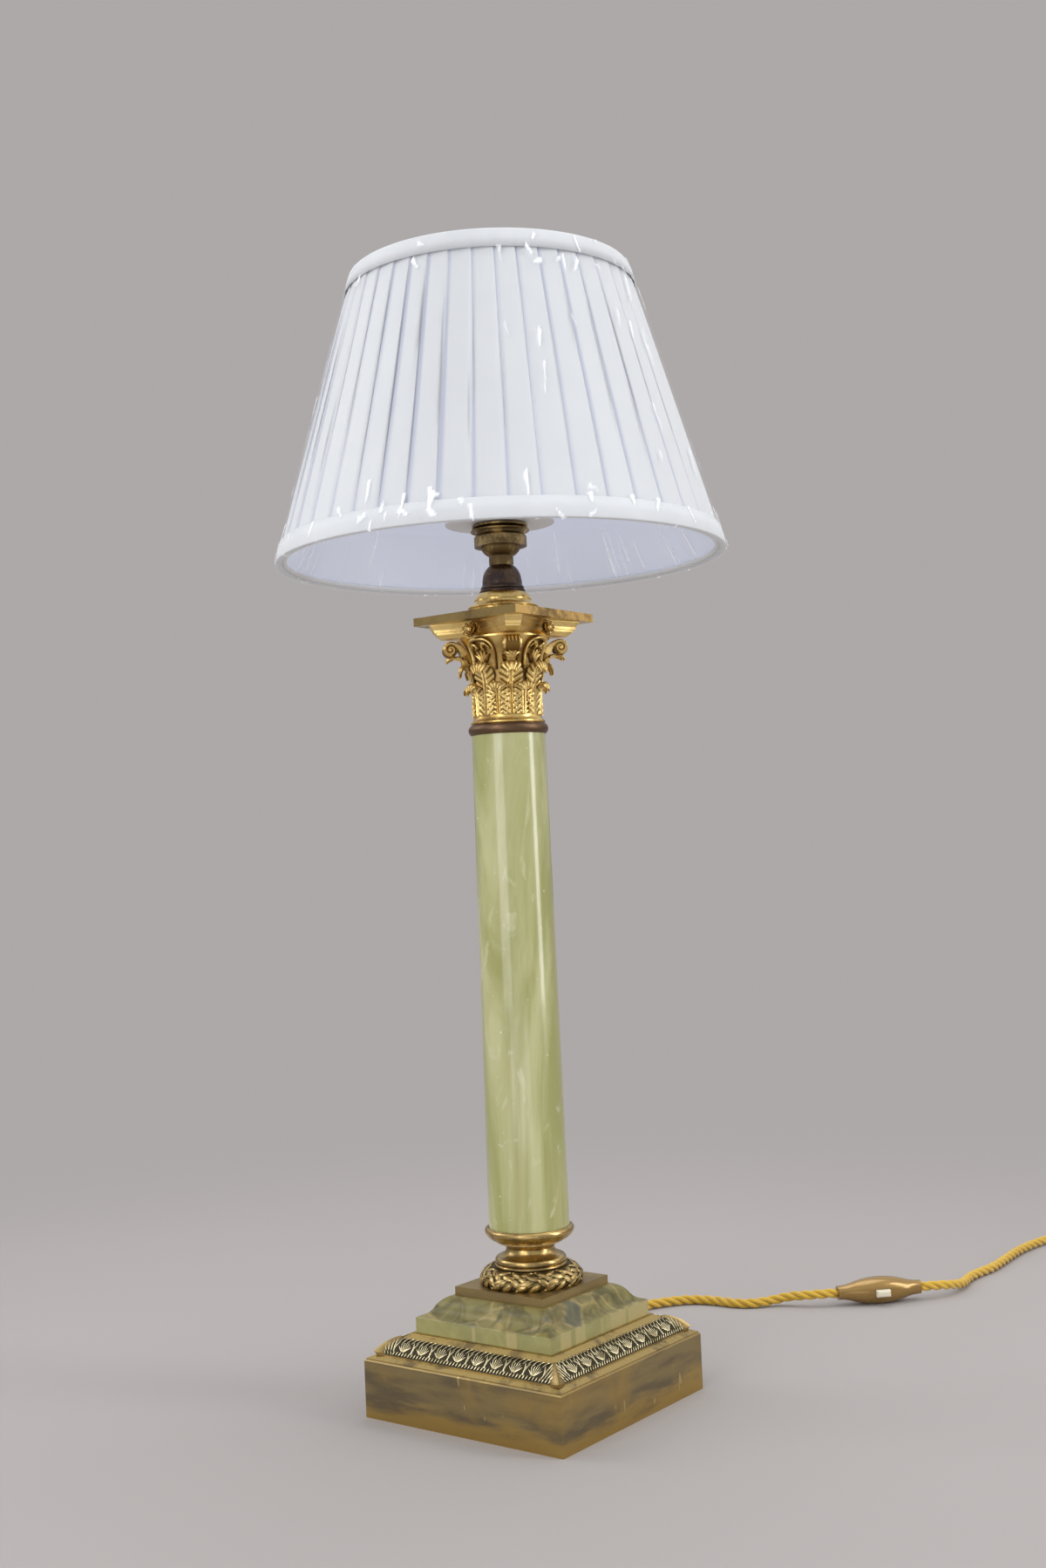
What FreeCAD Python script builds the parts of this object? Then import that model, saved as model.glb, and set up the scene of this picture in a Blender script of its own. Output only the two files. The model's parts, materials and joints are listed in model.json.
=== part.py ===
import FreeCAD, Part
import math
import os
import Sketcher

# Column table lamp: a stepped brass and onyx base, a turned onyx column with a Corinthian capital,
# a bayonet lampholder, a pleated drum shade and a twisted flex with a switch and a plug.
# Millimetres. +Z is up, the origin is the middle of the base where it stands, the sides of the
# base run along X and Y, and the flex leaves the middle of the +Y side.

os.makedirs("parts", exist_ok=True)

SIZES = {
    # hollow brass plinth and the leaf moulding on it
    "plinth_side": 160.0,
    "plinth_face": 37.5,
    "plinth_wall": 3.0,
    "plinth_bevel": 0.8,
    "plate_gap": 0.3,
    "felt_thick": 1.5,
    "underplate_thick": 2.0,
    "moulding_foot": 158.0,
    "moulding_lip": 0.8,
    "leaf_band_foot": 148.8,
    "leaf_band_low": 2.8,
    "leaf_band_step": 0.6,
    "leaf_band_top": 123.4,
    "leaf_band_high": 12.2,
    "moulding_top": 115.0,
    "moulding_edge": 0.5,
    "moulding_rise": 15.0,
    "moulding_wall": 5.0,
    "moulding_ledge": 7.9,
    # onyx block and the brass plate on it
    "onyx_side": 110.6,
    "onyx_edge": 10.1,
    "onyx_rise": 22.1,
    "onyx_top": 77.0,
    "onyx_shoulder": 1.8,
    "onyx_hollow": 11.0,
    "plate_side": 72.7,
    "plate_thick": 5.8,
    # turned foot of the column
    "wreath_foot": 31.6,
    "wreath_reach": 33.4,
    "wreath_rise": 10.6,
    "wreath_neck": 26.0,
    "bead_reach": 23.4,
    "bead_rise": 2.4,
    "torus_reach": 24.1,
    "torus_rise": 4.6,
    "hollow_foot": 20.4,
    "hollow_waist": 16.0,
    "hollow_rise": 9.4,
    "cup_foot": 22.3,
    "cup_reach": 29.7,
    "cup_rise": 8.8,
    "cup_lip": 1.2,
    "cup_play": 0.3,
    # onyx column and the rings over it
    "column_foot": 27.1,
    "column_head": 24.8,
    "column_length": 328.7,
    "bore_radius": 6.0,
    "neck_rise": 7.1,
    "collar_reach": 25.2,
    "collar_neck": 23.1,
    "collar_band": 2.0,
    "collar_rise": 5.6,
    # Corinthian capital
    "bell_radius": 22.0,
    "bell_straight": 34.0,
    "bell_lip": 30.5,
    "bell_rise": 52.8,
    "leaf_count": 8,
    "leaf_thick": 1.9,
    "rib_width": 2.2,
    "rib_lift": 0.6,
    "lower_leaf_rise": 20.8,
    "lower_leaf_reach": 27.6,
    "lower_leaf_width": 15.4,
    "upper_leaf_rise": 34.6,
    "upper_leaf_reach": 29.9,
    "upper_leaf_width": 13.6,
    "scroll_band": 1.9,
    "scroll_ridge": 0.55,
    "scroll_width": 12.0,
    "scroll_recess": 1.3,
    "scroll_radius": 5.2,
    "scroll_axis_reach": 37.4,
    "scroll_drop": 7.4,
    "scroll_stem": 1.0,
    "scroll_eye": 1.5,
    "tongue_thick": 1.6,
    "tongue_ridge": 0.6,
    "tongue_width": 10.0,
    "tongue_reach": 34.0,
    "tongue_drop": 13.8,
    "helix_band": 1.6,
    "helix_ridge": 0.5,
    "helix_depth": 4.4,
    "helix_radius": 3.1,
    "helix_apart": 8.2,
    "helix_drop": 7.2,
    "helix_reach": 4.6,
    "helix_stem": 9.6,
    "abacus_rise": 9.4,
    "abacus_reach": 50.8,
    "abacus_middle": 33.5,
    "abacus_corner": 11.6,
    "abacus_step": 8.3,
    "rosette_radius": 7.4,
    "rosette_thick": 2.6,
    "rosette_squash": 0.74,
    "rosette_petals": 8,
    "rosette_boss": 2.4,
    "abacus_plate_side": 86.5,
    "abacus_plate_thick": 5.6,
    # turned cap, dark cup and the threaded tube that holds the lamp together
    "cap_foot": 23.4,
    "cap_band": 6.6,
    "cap_ledge": 19.4,
    "cap_head": 15.2,
    "cap_rise": 16.0,
    "dark_cup_foot": 15.1,
    "dark_cup_body": 13.5,
    "dark_cup_head": 8.2,
    "dark_cup_rise": 18.4,
    "tube_radius": 5.0,
    "tube_bore": 3.4,
    "tube_tail": 12.0,
    "tube_head": 5.0,
    "washer_radius": 22.0,
    "washer_thick": 1.6,
    "nut_across": 17.0,
    "nut_thick": 6.0,
    # bayonet lampholder
    "holder_neck": 8.15,
    "neck_length": 7.5,
    "dome_reach": 13.2,
    "dome_rise": 5.4,
    "holder_wall": 1.2,
    "barrel_radius": 14.3,
    "barrel_bore": 11.2,
    "barrel_seat": 10.4,
    "barrel_rise": 36.0,
    "socket_depth": 15.0,
    "slot_width": 2.4,
    "slot_depth": 7.0,
    "slot_turn": 22.0,
    "thread_play": 0.2,
    "skirt_reach": 17.8,
    "skirt_rise": 8.4,
    "skirt_chamfer": 1.8,
    "ring_low_reach": 19.8,
    "ring_high_reach": 18.7,
    "shade_ring_rise": 3.4,
    "ring_neck": 16.1,
    "insulator_rise": 15.0,
    "insulator_drop": 3.8,
    "plunger_radius": 1.9,
    "plunger_length": 9.0,
    "plunger_proud": 3.4,
    "plunger_apart": 10.6,
    "plunger_play": 0.3,
    # shade and its carrier
    "shade_rim": 152.0,
    "shade_head": 94.2,
    "shade_rise": 194.5,
    "shade_drop": 25.0,
    "disc_radius": 37.0,
    "disc_thick": 1.2,
    "disc_play": 0.5,
    "seat_gap": 0.3,
    "arm_count": 3,
    "arm_radius": 1.5,
    "arm_bend": 14.0,
    "wire_radius": 1.5,
    "lining_thick": 0.8,
    "pleat_count": 44,
    "pleat_depth": 1.6,
    "cover_thick": 0.9,
    "cover_play": 0.1,
    "binding_thick": 0.6,
    "binding_low": 14.0,
    "binding_high": 13.0,
    "film_thick": 0.3,
    "film_gap": 0.4,
    # flex, its bush, the inner wiring
    "flex": 7.5,
    "exit_height": 12.0,
    "bush_reach": 8.0,
    "bush_flange": 1.6,
    "bush_stem": 5.6,
    "relief_length": 22.5,
    "relief_root": 6.0,
    "relief_tip": 4.4,
    "core_bundle": 5.4,
    "core_play": 0.05,
    "core_turn": 14.0,
    "clip_width": 9.0,
    "clip_thick": 1.6,
    # in-line switch
    "switch_radius": 10.5,
    "switch_tip": 5.4,
    "switch_flat": 0.5,
    "bar_width": 11.0,
    "bar_thick": 5.2,
    "bar_length": 25.5,
    "bar_travel": 4.0,
    "bar_play": 0.3,
    # coil of put-away flex and the plug
    "coil_reach": 50.0,
    "coil_pitch": 8.3,
    "coil_turns": 4.438,
    "coil_tail": 50.0,
    "plug_length": 50.0,
    "plug_width": 46.0,
    "plug_cover_thick": 16.0,
    "plug_base_thick": 8.0,
    "plug_corner": 9.0,
    "plug_taper": 3.0,
    "pin_gap": 22.2,
    "pin_thick": 4.0,
    "pin_width": 6.35,
    "pin_rise": 17.7,
    "earth_width": 4.0,
    "earth_depth": 8.0,
    "earth_rise": 22.7,
    "pin_inset": 13.0,
    "plug_screw_radius": 3.2,
}

# The radius of the leaf band's bulge, as so many times its run from foot to top.
LEAF_BAND_BULGE = 1.45

# Half of an acanthus leaf's outline from its foot to its tip: (share of its rise, share of its width).
LEAF_LOBES = [
    (0.0, 0.32),
    (0.22, 0.41),
    (0.26, 0.36),
    (0.46, 0.46),
    (0.50, 0.40),
    (0.70, 0.50),
    (0.76, 0.46),
    (0.88, 0.44),
    (0.97, 0.33),
    (1.02, 0.14),
]

# A leaf from the side, (share of its lean out from the bell, share of its rise): its back, the
# round of its lip as (via, end), the underside of the lip, and its front down to the foot.
LEAF_BACK = [(0.0, 0.0), (0.0, 0.62), (0.16, 0.82), (0.46, 0.97)]
LEAF_LIP = [(0.86, 1.0), (1.0, 0.88)]
LEAF_UNDER = [(0.86, 0.83), (0.56, 0.79)]
LEAF_FRONT = [(0.16, 0.62), (0.0, 0.0)]

# Quarter turns of the scrolls, and how much smaller each one is than the one before.
SCROLL_QUARTERS = 6
SCROLL_SHRINK = 0.78
HELIX_QUARTERS = 4
HELIX_SHRINK = 0.74

# Where a pleat has its fold, as a share of its width.
PLEAT_LEAN = 0.86

# Flex route on the floor from the bush to the switch, and from the switch to the coil.
LAMP_ROUTE = [
    (0.0, 102.5, 12.0),
    (0.0, 117.0, 11.2),
    (-4.0, 134.0, 5.8),
    (-16.0, 150.0, 3.75),
    (-35.0, 163.0, 3.75),
    (-55.0, 181.0, 3.75),
    (-69.0, 203.0, 3.75),
    (-67.0, 227.0, 3.75),
    (-55.0, 249.0, 3.75),
    (-41.0, 264.0, 3.75),
    (-22.0, 269.0, 3.75),
    (-5.0, 268.5, 3.75),
    (8.5, 275.0, 3.75),
    (17.5, 287.0, 4.6),
    (28.5, 294.0, 7.6),
    (47.0, 297.0, 10.0),
    (61.9, 311.8, 10.0),
]
PLUG_ROUTE = [
    (109.7, 359.1, 10.0),
    (122.0, 371.3, 10.0),
    (127.5, 389.0, 7.0),
    (125.5, 408.0, 4.2),
    (121.0, 427.0, 3.75),
    (122.0, 446.0, 3.75),
    (125.4, 467.0, 3.75),
    (123.6, 496.0, 3.75),
    (120.6, 541.0, 3.75),
    (126.3, 583.9, 3.75),
    (137.4, 616.9, 3.75),
    (146.5, 639.1, 3.75),
]

doc = FreeCAD.newDocument("column_lamp")
sheet = doc.addObject("Spreadsheet::Sheet", "Sizes")
for row, (alias, value) in enumerate(SIZES.items(), start=1):
    sheet.set(f"A{row}", alias)
    sheet.set(f"B{row}", str(value))
    sheet.setAlias(f"B{row}", alias)
doc.recompute()


class Size:
    """A number together with the spreadsheet expression that gives it."""

    def __init__(self, number, text):
        self.number = float(number)
        self.text = text

    def __add__(self, other):
        return combine(self, "+", other, self.number + plain(other))

    def __radd__(self, other):
        return combine(other, "+", self, plain(other) + self.number)

    def __sub__(self, other):
        return combine(self, "-", other, self.number - plain(other))

    def __rsub__(self, other):
        return combine(other, "-", self, plain(other) - self.number)

    def __mul__(self, other):
        return combine(self, "*", other, self.number * plain(other))

    def __rmul__(self, other):
        return combine(other, "*", self, plain(other) * self.number)

    def __truediv__(self, other):
        return combine(self, "/", other, self.number / plain(other))


def plain(value):
    return value.number if isinstance(value, Size) else float(value)


def words(value):
    return value.text if isinstance(value, Size) else repr(float(value))


def combine(left, sign, right, number):
    return Size(number, f"({words(left)} {sign} {words(right)})")


def size(alias):
    return Size(sheet.get(alias), f"Sizes.{alias}")


def number(alias):
    return float(sheet.get(alias))


def bind(thing, prop, value):
    """Sets a property from a size, and keeps it tied to the sheet."""
    if isinstance(value, Size):
        thing.setExpression(prop, value.text)
    else:
        setattr(thing, prop, value)


def place(thing, x=0.0, y=0.0, z=0.0):
    for axis, value in (("x", x), ("y", y), ("z", z)):
        if isinstance(value, Size):
            thing.setExpression(f"Placement.Base.{axis}", value.text)
        elif value:
            thing.setExpression(f"Placement.Base.{axis}", repr(float(value)))


# Heights at which the stacked pieces stand, each one from the sizes below it.
moulding_seat = size("plinth_face")
onyx_seat = moulding_seat + size("moulding_rise")
plate_seat = onyx_seat + size("onyx_rise")
wreath_seat = plate_seat + size("plate_thick")
foot_seat = wreath_seat + size("wreath_rise")
foot_rise = size("bead_rise") + size("torus_rise") + size("hollow_rise") + size("cup_rise")
column_seat = foot_seat + foot_rise
neck_seat = column_seat + size("column_length")
collar_seat = neck_seat + size("neck_rise")
bell_seat = collar_seat + size("collar_rise")
abacus_seat = bell_seat + size("bell_rise")
abacus_plate_seat = abacus_seat + size("abacus_rise")
cap_seat = abacus_plate_seat + size("abacus_plate_thick")
dark_cup_seat = cap_seat + size("cap_rise")
holder_seat = dark_cup_seat + size("dark_cup_rise")
barrel_seat_height = holder_seat + size("neck_length") + size("dome_rise")
skirt_seat = barrel_seat_height
ring_low_seat = skirt_seat + size("skirt_rise")
ring_high_seat = ring_low_seat + size("shade_ring_rise") + size("thread_play")
disc_seat = ring_high_seat + size("shade_ring_rise") + size("seat_gap")
clamp_seat = disc_seat + size("disc_thick") + size("seat_gap")
shade_seat = disc_seat - size("shade_drop")


def arc_centre(start, end, radius):
    """The centre of the minor arc from start to end: a positive radius bulges right of travel."""
    dx, dy = end[0] - start[0], end[1] - start[1]
    chord = math.hypot(dx, dy)
    lift = math.sqrt(max(radius * radius - chord * chord / 4, 0.0))
    side = 1.0 if radius > 0 else -1.0
    middle = ((start[0] + end[0]) / 2, (start[1] + end[1]) / 2)
    return (middle[0] - side * lift * dy / chord, middle[1] + side * lift * dx / chord)


def outline(sketch, corners):
    """Draws a closed outline. A corner is (across, up) or (across, up, radius of the arc to it)."""
    spots = [(plain(c[0]), plain(c[1])) for c in corners]
    ends = []
    for i, corner in enumerate(corners):
        start, end = spots[i - 1], spots[i]
        radius = corner[2] if len(corner) > 2 else None
        if radius is None:
            edge = Part.LineSegment(FreeCAD.Vector(*start, 0), FreeCAD.Vector(*end, 0))
            index = sketch.addGeometry(edge, False)
            ends.append((index, 1, 2))
            continue
        centre = arc_centre(start, end, plain(radius))
        angles = [math.atan2(p[1] - centre[1], p[0] - centre[0]) for p in (start, end)]
        forward = plain(radius) > 0
        first, last = angles if forward else angles[::-1]
        circle = Part.Circle(FreeCAD.Vector(*centre, 0), FreeCAD.Vector(0, 0, 1), abs(plain(radius)))
        index = sketch.addGeometry(Part.ArcOfCircle(circle, first, last), False)
        ends.append((index, 1, 2) if forward else (index, 2, 1))
        held = sketch.addConstraint(Sketcher.Constraint("Radius", index, abs(plain(radius))))
        if isinstance(radius, Size):
            sketch.setExpression(f"Constraints[{held}]", f"abs({radius.text})")
    for i, (index, first, last) in enumerate(ends):
        before = ends[i - 1]
        sketch.addConstraint(Sketcher.Constraint("Coincident", before[0], before[2], index, first))
        for kind, value in (("DistanceX", corners[i][0]), ("DistanceY", corners[i][1])):
            held = sketch.addConstraint(Sketcher.Constraint(kind, index, last, plain(value)))
            if isinstance(value, Size):
                sketch.setExpression(f"Constraints[{held}]", value.text)


def body_sketch(body, role, name, corners):
    plane = [feature for feature in body.Origin.OriginFeatures if feature.Role == role][0]
    sketch = body.newObject("Sketcher::SketchObject", name)
    sketch.AttachmentSupport = (plane, [""])
    sketch.MapMode = "FlatFace"
    outline(sketch, corners)
    return sketch


def new_body(label):
    body = doc.addObject("PartDesign::Body", label)
    body.Label = label
    return body


def turned(label, corners, seat=0.0):
    """A piece turned on the lamp's axis from its half section, (radius, height over its seat)."""
    body = new_body(label)
    sketch = body_sketch(body, "XZ_Plane", label + "_section", corners)
    turning = body.newObject("PartDesign::Revolution", label + "_turning")
    turning.Profile = sketch
    turning.ReferenceAxis = (sketch, ["V_Axis"])
    turning.Angle = 360.0
    sketch.Visibility = False
    place(body, z=seat)
    return body


def simple(kind, label, sizes, x=0.0, y=0.0, z=0.0):
    piece = doc.addObject(f"Part::{kind}", label)
    for prop, value in sizes.items():
        bind(piece, prop, value)
    place(piece, x, y, z)
    return piece


def drum(label, radius, height, x=0.0, y=0.0, z=0.0):
    return simple("Cylinder", label, {"Radius": radius, "Height": height}, x, y, z)


def block(label, wide, deep, tall, x=0.0, y=0.0, z=0.0):
    """A block whose middle is over (x, y)."""
    sizes = {"Length": wide, "Width": deep, "Height": tall}
    return simple("Box", label, sizes, x - wide / 2.0, y - deep / 2.0, z)


def joined(kind, label, base, tool):
    result = doc.addObject(f"Part::{kind}", label)
    result.Label = label
    result.Base = base
    result.Tool = tool
    return result


def mitred(label, corners, seat):
    """A square moulding with mitred corners, from its half section, (half side, height)."""
    wide = max(plain(c[0]) for c in corners) * 2 + 20.0
    mirrored = [(corners[-1][0] * -1.0, corners[-1][1])]
    for i in range(len(corners) - 1, 0, -1):
        corner = corners[i - 1]
        arc = corners[i][2:] if len(corners[i]) > 2 else ()
        mirrored.append((corner[0] * -1.0, corner[1], *arc))
    bars = []
    for turn, name in ((0.0, "_along"), (90.0, "_across")):
        sketch = doc.addObject("Sketcher::SketchObject", label + name + "_section")
        outline(sketch, list(corners) + mirrored)
        upright = FreeCAD.Rotation(FreeCAD.Vector(1, 0, 0), 90)
        spin = FreeCAD.Rotation(FreeCAD.Vector(0, 0, 1), turn)
        sketch.Placement = FreeCAD.Placement(FreeCAD.Vector(), spin.multiply(upright))
        bar = doc.addObject("Part::Extrusion", label + name)
        bar.Base = sketch
        bar.DirMode = "Normal"
        bar.LengthFwd = wide
        bar.Symmetric = True
        bar.Solid = True
        bars.append(bar)
    result = joined("Common", label, *bars)
    place(result, z=seat)
    return result


def bored(label, solid, radius, tall, seat):
    """The solid with a round hole down the lamp's axis."""
    return joined("Cut", label, solid, drum(label + "_bore", radius, tall, z=seat))


def shaped(label, solid):
    """A piece whose form comes from Part's own functions."""
    piece = doc.addObject("Part::Feature", label)
    piece.Label = label
    piece.Shape = solid
    return piece


def tied(piece, z):
    """Stands a shaped piece, drawn from height 0, on its seat."""
    place(piece, z=z)
    return piece


def spot(across, up, along=0.0):
    return FreeCAD.Vector(across, along, up)


def face_through(steps):
    """A face from (point,) lines and (via, point) arcs, closed back to the first point."""
    points = [steps[0][0]]
    edges = []
    for step in steps[1:]:
        if len(step) == 1:
            edges.append(Part.LineSegment(points[-1], step[0]).toShape())
        else:
            edges.append(Part.Arc(points[-1], step[0], step[1]).toShape())
        points.append(step[-1])
    if (points[-1] - points[0]).Length > 1e-6:
        edges.append(Part.LineSegment(points[-1], points[0]).toShape())
    return Part.Face(Part.Wire(edges))


def ring_of(solid, count, offset=0.0):
    """Copies of a solid spaced evenly about the lamp's axis."""
    copies = []
    for i in range(int(count)):
        copy = solid.copy()
        turn = offset + 360.0 * i / int(count)
        copy.rotate(FreeCAD.Vector(), FreeCAD.Vector(0, 0, 1), turn)
        copies.append(copy)
    return Part.makeCompound(copies)


# ---------------------------------------------------------------- stepped base


def make_plinth():
    half = size("plinth_side") / 2.0
    bevel = size("plinth_bevel")
    face = size("plinth_face")
    wall = size("plinth_wall")
    section = [
        (half, 0.0),
        (half, face - bevel),
        (half - bevel, face),
    ]
    shell = mitred("plinth_block", section, 0.0)
    inside = size("plinth_side") - wall * 2.0
    hollow = block("plinth_hollow", inside, inside, face - wall)
    shell = joined("Cut", "plinth_shell", shell, hollow)
    shell = bored("plinth_bored", shell, size("bore_radius"), wall * 3.0, face - wall * 2.0)
    hole = drum("plinth_flex_hole", size("bush_stem"), wall * 3.0)
    hole.setExpression("Placement.Rotation.Axis.x", "1")
    hole.setExpression("Placement.Rotation.Axis.z", "0")
    hole.setExpression("Placement.Rotation.Angle", "90")
    place(hole, y=half + wall, z=size("exit_height"))
    return joined("Cut", "base_plinth", shell, hole)


def make_felt_and_underplate():
    inside = size("plinth_side") - size("plinth_wall") * 2.0 - size("plate_gap") * 2.0
    felt = block("base_felt", inside, inside, size("felt_thick"))
    plate = block("base_underplate", inside, inside, size("underplate_thick"), z=size("felt_thick"))
    return [felt, plate]


def make_leaf_moulding():
    foot = size("moulding_foot") / 2.0
    top = size("moulding_top") / 2.0
    rise = size("moulding_rise")
    band_foot = size("leaf_band_foot") / 2.0
    band_low = size("leaf_band_low")
    band_top = size("leaf_band_top") / 2.0
    section = [
        (foot, 0.0),
        (foot, size("moulding_lip")),
        (band_foot, band_low),
        (band_foot, band_low + size("leaf_band_step")),
        (band_top, size("leaf_band_high"), (band_foot - band_top) * LEAF_BAND_BULGE),
        (top, rise - size("moulding_edge")),
        (top, rise),
    ]
    solid = mitred("moulding_block", section, moulding_seat)
    wall = size("moulding_wall")
    lower = size("leaf_band_foot") - size("moulding_ledge") * 2.0
    upper = size("moulding_top") - wall * 4.0
    hollow = block("moulding_low_hollow", lower, lower, band_low, z=moulding_seat)
    solid = joined("Cut", "moulding_cut", solid, hollow)
    through = block("moulding_hollow", upper, upper, rise, z=moulding_seat)
    return joined("Cut", "leaf_moulding", solid, through)


def make_onyx_plinth():
    half = size("onyx_side") / 2.0
    edge = size("onyx_edge")
    rise = size("onyx_rise")
    top = size("onyx_top") / 2.0
    shoulder = size("onyx_shoulder")
    knee_across = top + (half - top) * 0.48
    knee_up = edge + (rise - edge) * 0.42
    section = [
        (half, 0.0),
        (half, edge - 0.8),
        (half - shoulder, edge, 1.6),
        (knee_across, knee_up, size("onyx_hollow") * -1.0),
        (top, rise, size("onyx_hollow") * 1.25),
    ]
    solid = mitred("onyx_block", section, onyx_seat)
    return bored("onyx_plinth", solid, size("bore_radius"), rise, onyx_seat)


def make_cap_plate():
    side = size("plate_side")
    thick = size("plate_thick")
    plate = block("cap_plate_block", side, side, thick, z=plate_seat)
    return bored("onyx_cap_plate", plate, size("bore_radius"), thick, plate_seat)


# ---------------------------------------------------------------- turned metal and onyx


def make_column_foot():
    bore = size("bore_radius")
    wreath = turned(
        "laurel_wreath",
        [
            (bore, 0.0),
            (size("wreath_foot"), 0.0),
            (size("wreath_reach"), size("wreath_rise") * 0.4, size("wreath_rise") * 0.45),
            (size("wreath_neck"), size("wreath_rise"), size("wreath_rise") * 0.9),
            (bore, size("wreath_rise")),
        ],
        wreath_seat,
    )
    bead = size("bead_rise")
    torus = bead + size("torus_rise")
    scotia = torus + size("hollow_rise")
    cup = scotia + size("cup_rise")
    seat_radius = size("column_foot") + size("cup_play")
    foot = turned(
        "column_foot",
        [
            (bore, 0.0),
            (size("bead_reach"), 0.0),
            (size("bead_reach"), bead, bead * 0.55),
            (size("torus_reach") - 1.0, bead),
            (size("hollow_foot") + 1.2, torus, size("torus_rise") * 0.62),
            (size("hollow_foot"), torus),
            (size("hollow_waist"), torus + size("hollow_rise") * 0.58, size("hollow_rise") * -0.72),
            (size("cup_foot"), scotia, size("hollow_rise") * -0.95),
            (size("cup_foot"), scotia + 0.9),
            (size("cup_reach"), cup - 2.4, size("cup_rise") * 1.1),
            (seat_radius, cup + size("cup_lip"), 2.6),
            (seat_radius, cup),
            (bore, cup),
        ],
        foot_seat,
    )
    return [wreath, foot]


def make_column():
    bore = size("bore_radius")
    length = size("column_length")
    return turned(
        "onyx_column",
        [
            (bore, 0.0),
            (size("column_foot"), 0.0),
            (size("column_head"), length),
            (bore, length),
        ],
        column_seat,
    )


def make_neck_rings():
    bore = size("bore_radius")
    rise = size("neck_rise")
    head = size("column_head")
    ring = turned(
        "neck_ring",
        [(bore, 0.0), (head, 0.0), (head, rise, rise * 0.56), (bore, rise)],
        neck_seat,
    )
    band = size("collar_band")
    collar_rise = size("collar_rise")
    collar = turned(
        "capital_collar",
        [
            (bore, 0.0),
            (size("collar_reach") - 0.6, 0.0),
            (size("collar_reach") - 0.6, band, band * 0.6),
            (size("collar_neck"), collar_rise - 0.8, size("collar_rise") * -0.9),
            (size("collar_neck"), collar_rise),
            (bore, collar_rise),
        ],
        collar_seat,
    )
    return [ring, collar]


# ---------------------------------------------------------------- Corinthian capital


def make_bell():
    bore = size("bore_radius")
    straight = size("bell_straight")
    rise = size("bell_rise")
    return turned(
        "capital_bell",
        [
            (bore, 0.0),
            (size("bell_radius"), 0.0),
            (size("bell_radius"), straight),
            (size("bell_lip"), rise - 1.2, (rise - straight) * -1.5),
            (size("bell_lip"), rise),
            (bore, rise),
        ],
        bell_seat,
    )


def leaf_section(rise, reach, thick):
    """The side of a leaf: it hugs the bell, leans out near its top and curls over at its lip."""
    inner = number("bell_radius")
    lean = reach - inner
    back = [spot(inner + lean * out, rise * up) for out, up in LEAF_BACK]
    lip = [spot(inner + lean * out, rise * up) for out, up in LEAF_LIP]
    under = [spot(inner + lean * out, rise * up) for out, up in LEAF_UNDER]
    front = [spot(inner + thick + lean * out, rise * up) for out, up in LEAF_FRONT]
    return face_through([(point,) for point in back] + [tuple(lip)] + [(point,) for point in under + front])


def leaf_front(rise, width, depth):
    """A block with the lobed front outline of an acanthus leaf."""
    right = [spot(0.0, rise * up, width * across) for up, across in LEAF_LOBES]
    left = [FreeCAD.Vector(p.x, -p.y, p.z) for p in reversed(right)]
    outline_face = face_through([(point,) for point in right + left])
    return outline_face.extrude(FreeCAD.Vector(depth, 0, 0))


def turned_part(face, turn):
    """A section turned through an angle, with its middle at +X."""
    axis = FreeCAD.Vector(0, 0, 1)
    face.rotate(FreeCAD.Vector(), axis, -turn / 2)
    return face.revolve(FreeCAD.Vector(), axis, turn)


def leaf(rise, reach, width):
    """One acanthus leaf with its raised middle rib, at the +X side of the bell."""
    thick = number("leaf_thick")
    lift = number("rib_lift")
    inner = number("bell_radius")
    blade = turned_part(leaf_section(rise, reach, thick), math.degrees(width / inner))
    blade = blade.common(leaf_front(rise, width, reach * 2))
    rib_turn = math.degrees(number("rib_width") / inner)
    rib = turned_part(leaf_section(rise, reach + lift, thick + lift), rib_turn)
    return blade.fuse(rib).removeSplitter()


def make_leaves():
    count = number("leaf_count")
    half_step = 180.0 / count
    lower = leaf(*(number(f"lower_leaf_{part}") for part in ("rise", "reach", "width")))
    upper = leaf(*(number(f"upper_leaf_{part}") for part in ("rise", "reach", "width")))
    lower_tier = ring_of(lower, count, half_step)
    upper_tier = ring_of(upper, count).cut(lower_tier)
    return [
        tied(shaped("lower_acanthus_leaves", lower_tier), bell_seat),
        tied(shaped("upper_acanthus_leaves", upper_tier), bell_seat),
    ]


def spiral_arcs(centre, radius, turns, shrink, start):
    """Quarter-turn arcs that wind in to the middle: a list of (via, end) points, clockwise."""
    arcs = []
    middle = FreeCAD.Vector(centre)
    angle = start
    for _ in range(turns):
        via = middle + spot(math.cos(angle - math.pi / 4), math.sin(angle - math.pi / 4)) * radius
        end = middle + spot(math.cos(angle - math.pi / 2), math.sin(angle - math.pi / 2)) * radius
        arcs.append((via, end))
        angle -= math.pi / 2
        smaller = radius * shrink
        middle = middle + spot(math.cos(angle), math.sin(angle)) * (radius - smaller)
        radius = smaller
    return arcs


def scroll_path(foot_across, straight, centre, radius, quarters, shrink):
    """A stem that rises straight, turns level over the scroll and winds clockwise to its middle."""
    top = FreeCAD.Vector(centre) + spot(0.0, radius)
    reach = top.x - foot_across
    shoulder = top - spot(reach, reach)
    foot = shoulder - spot(0.0, straight)
    via = shoulder + spot(1.0 - math.sqrt(0.5), math.sqrt(0.5)) * reach
    edges = [Part.LineSegment(foot, shoulder).toShape(), Part.Arc(shoulder, via, top).toShape()]
    here = top
    for via, end in spiral_arcs(centre, radius, quarters, shrink, math.pi / 2):
        edges.append(Part.Arc(here, via, end).toShape())
        here = end
    return Part.Wire(edges), foot, here


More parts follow.
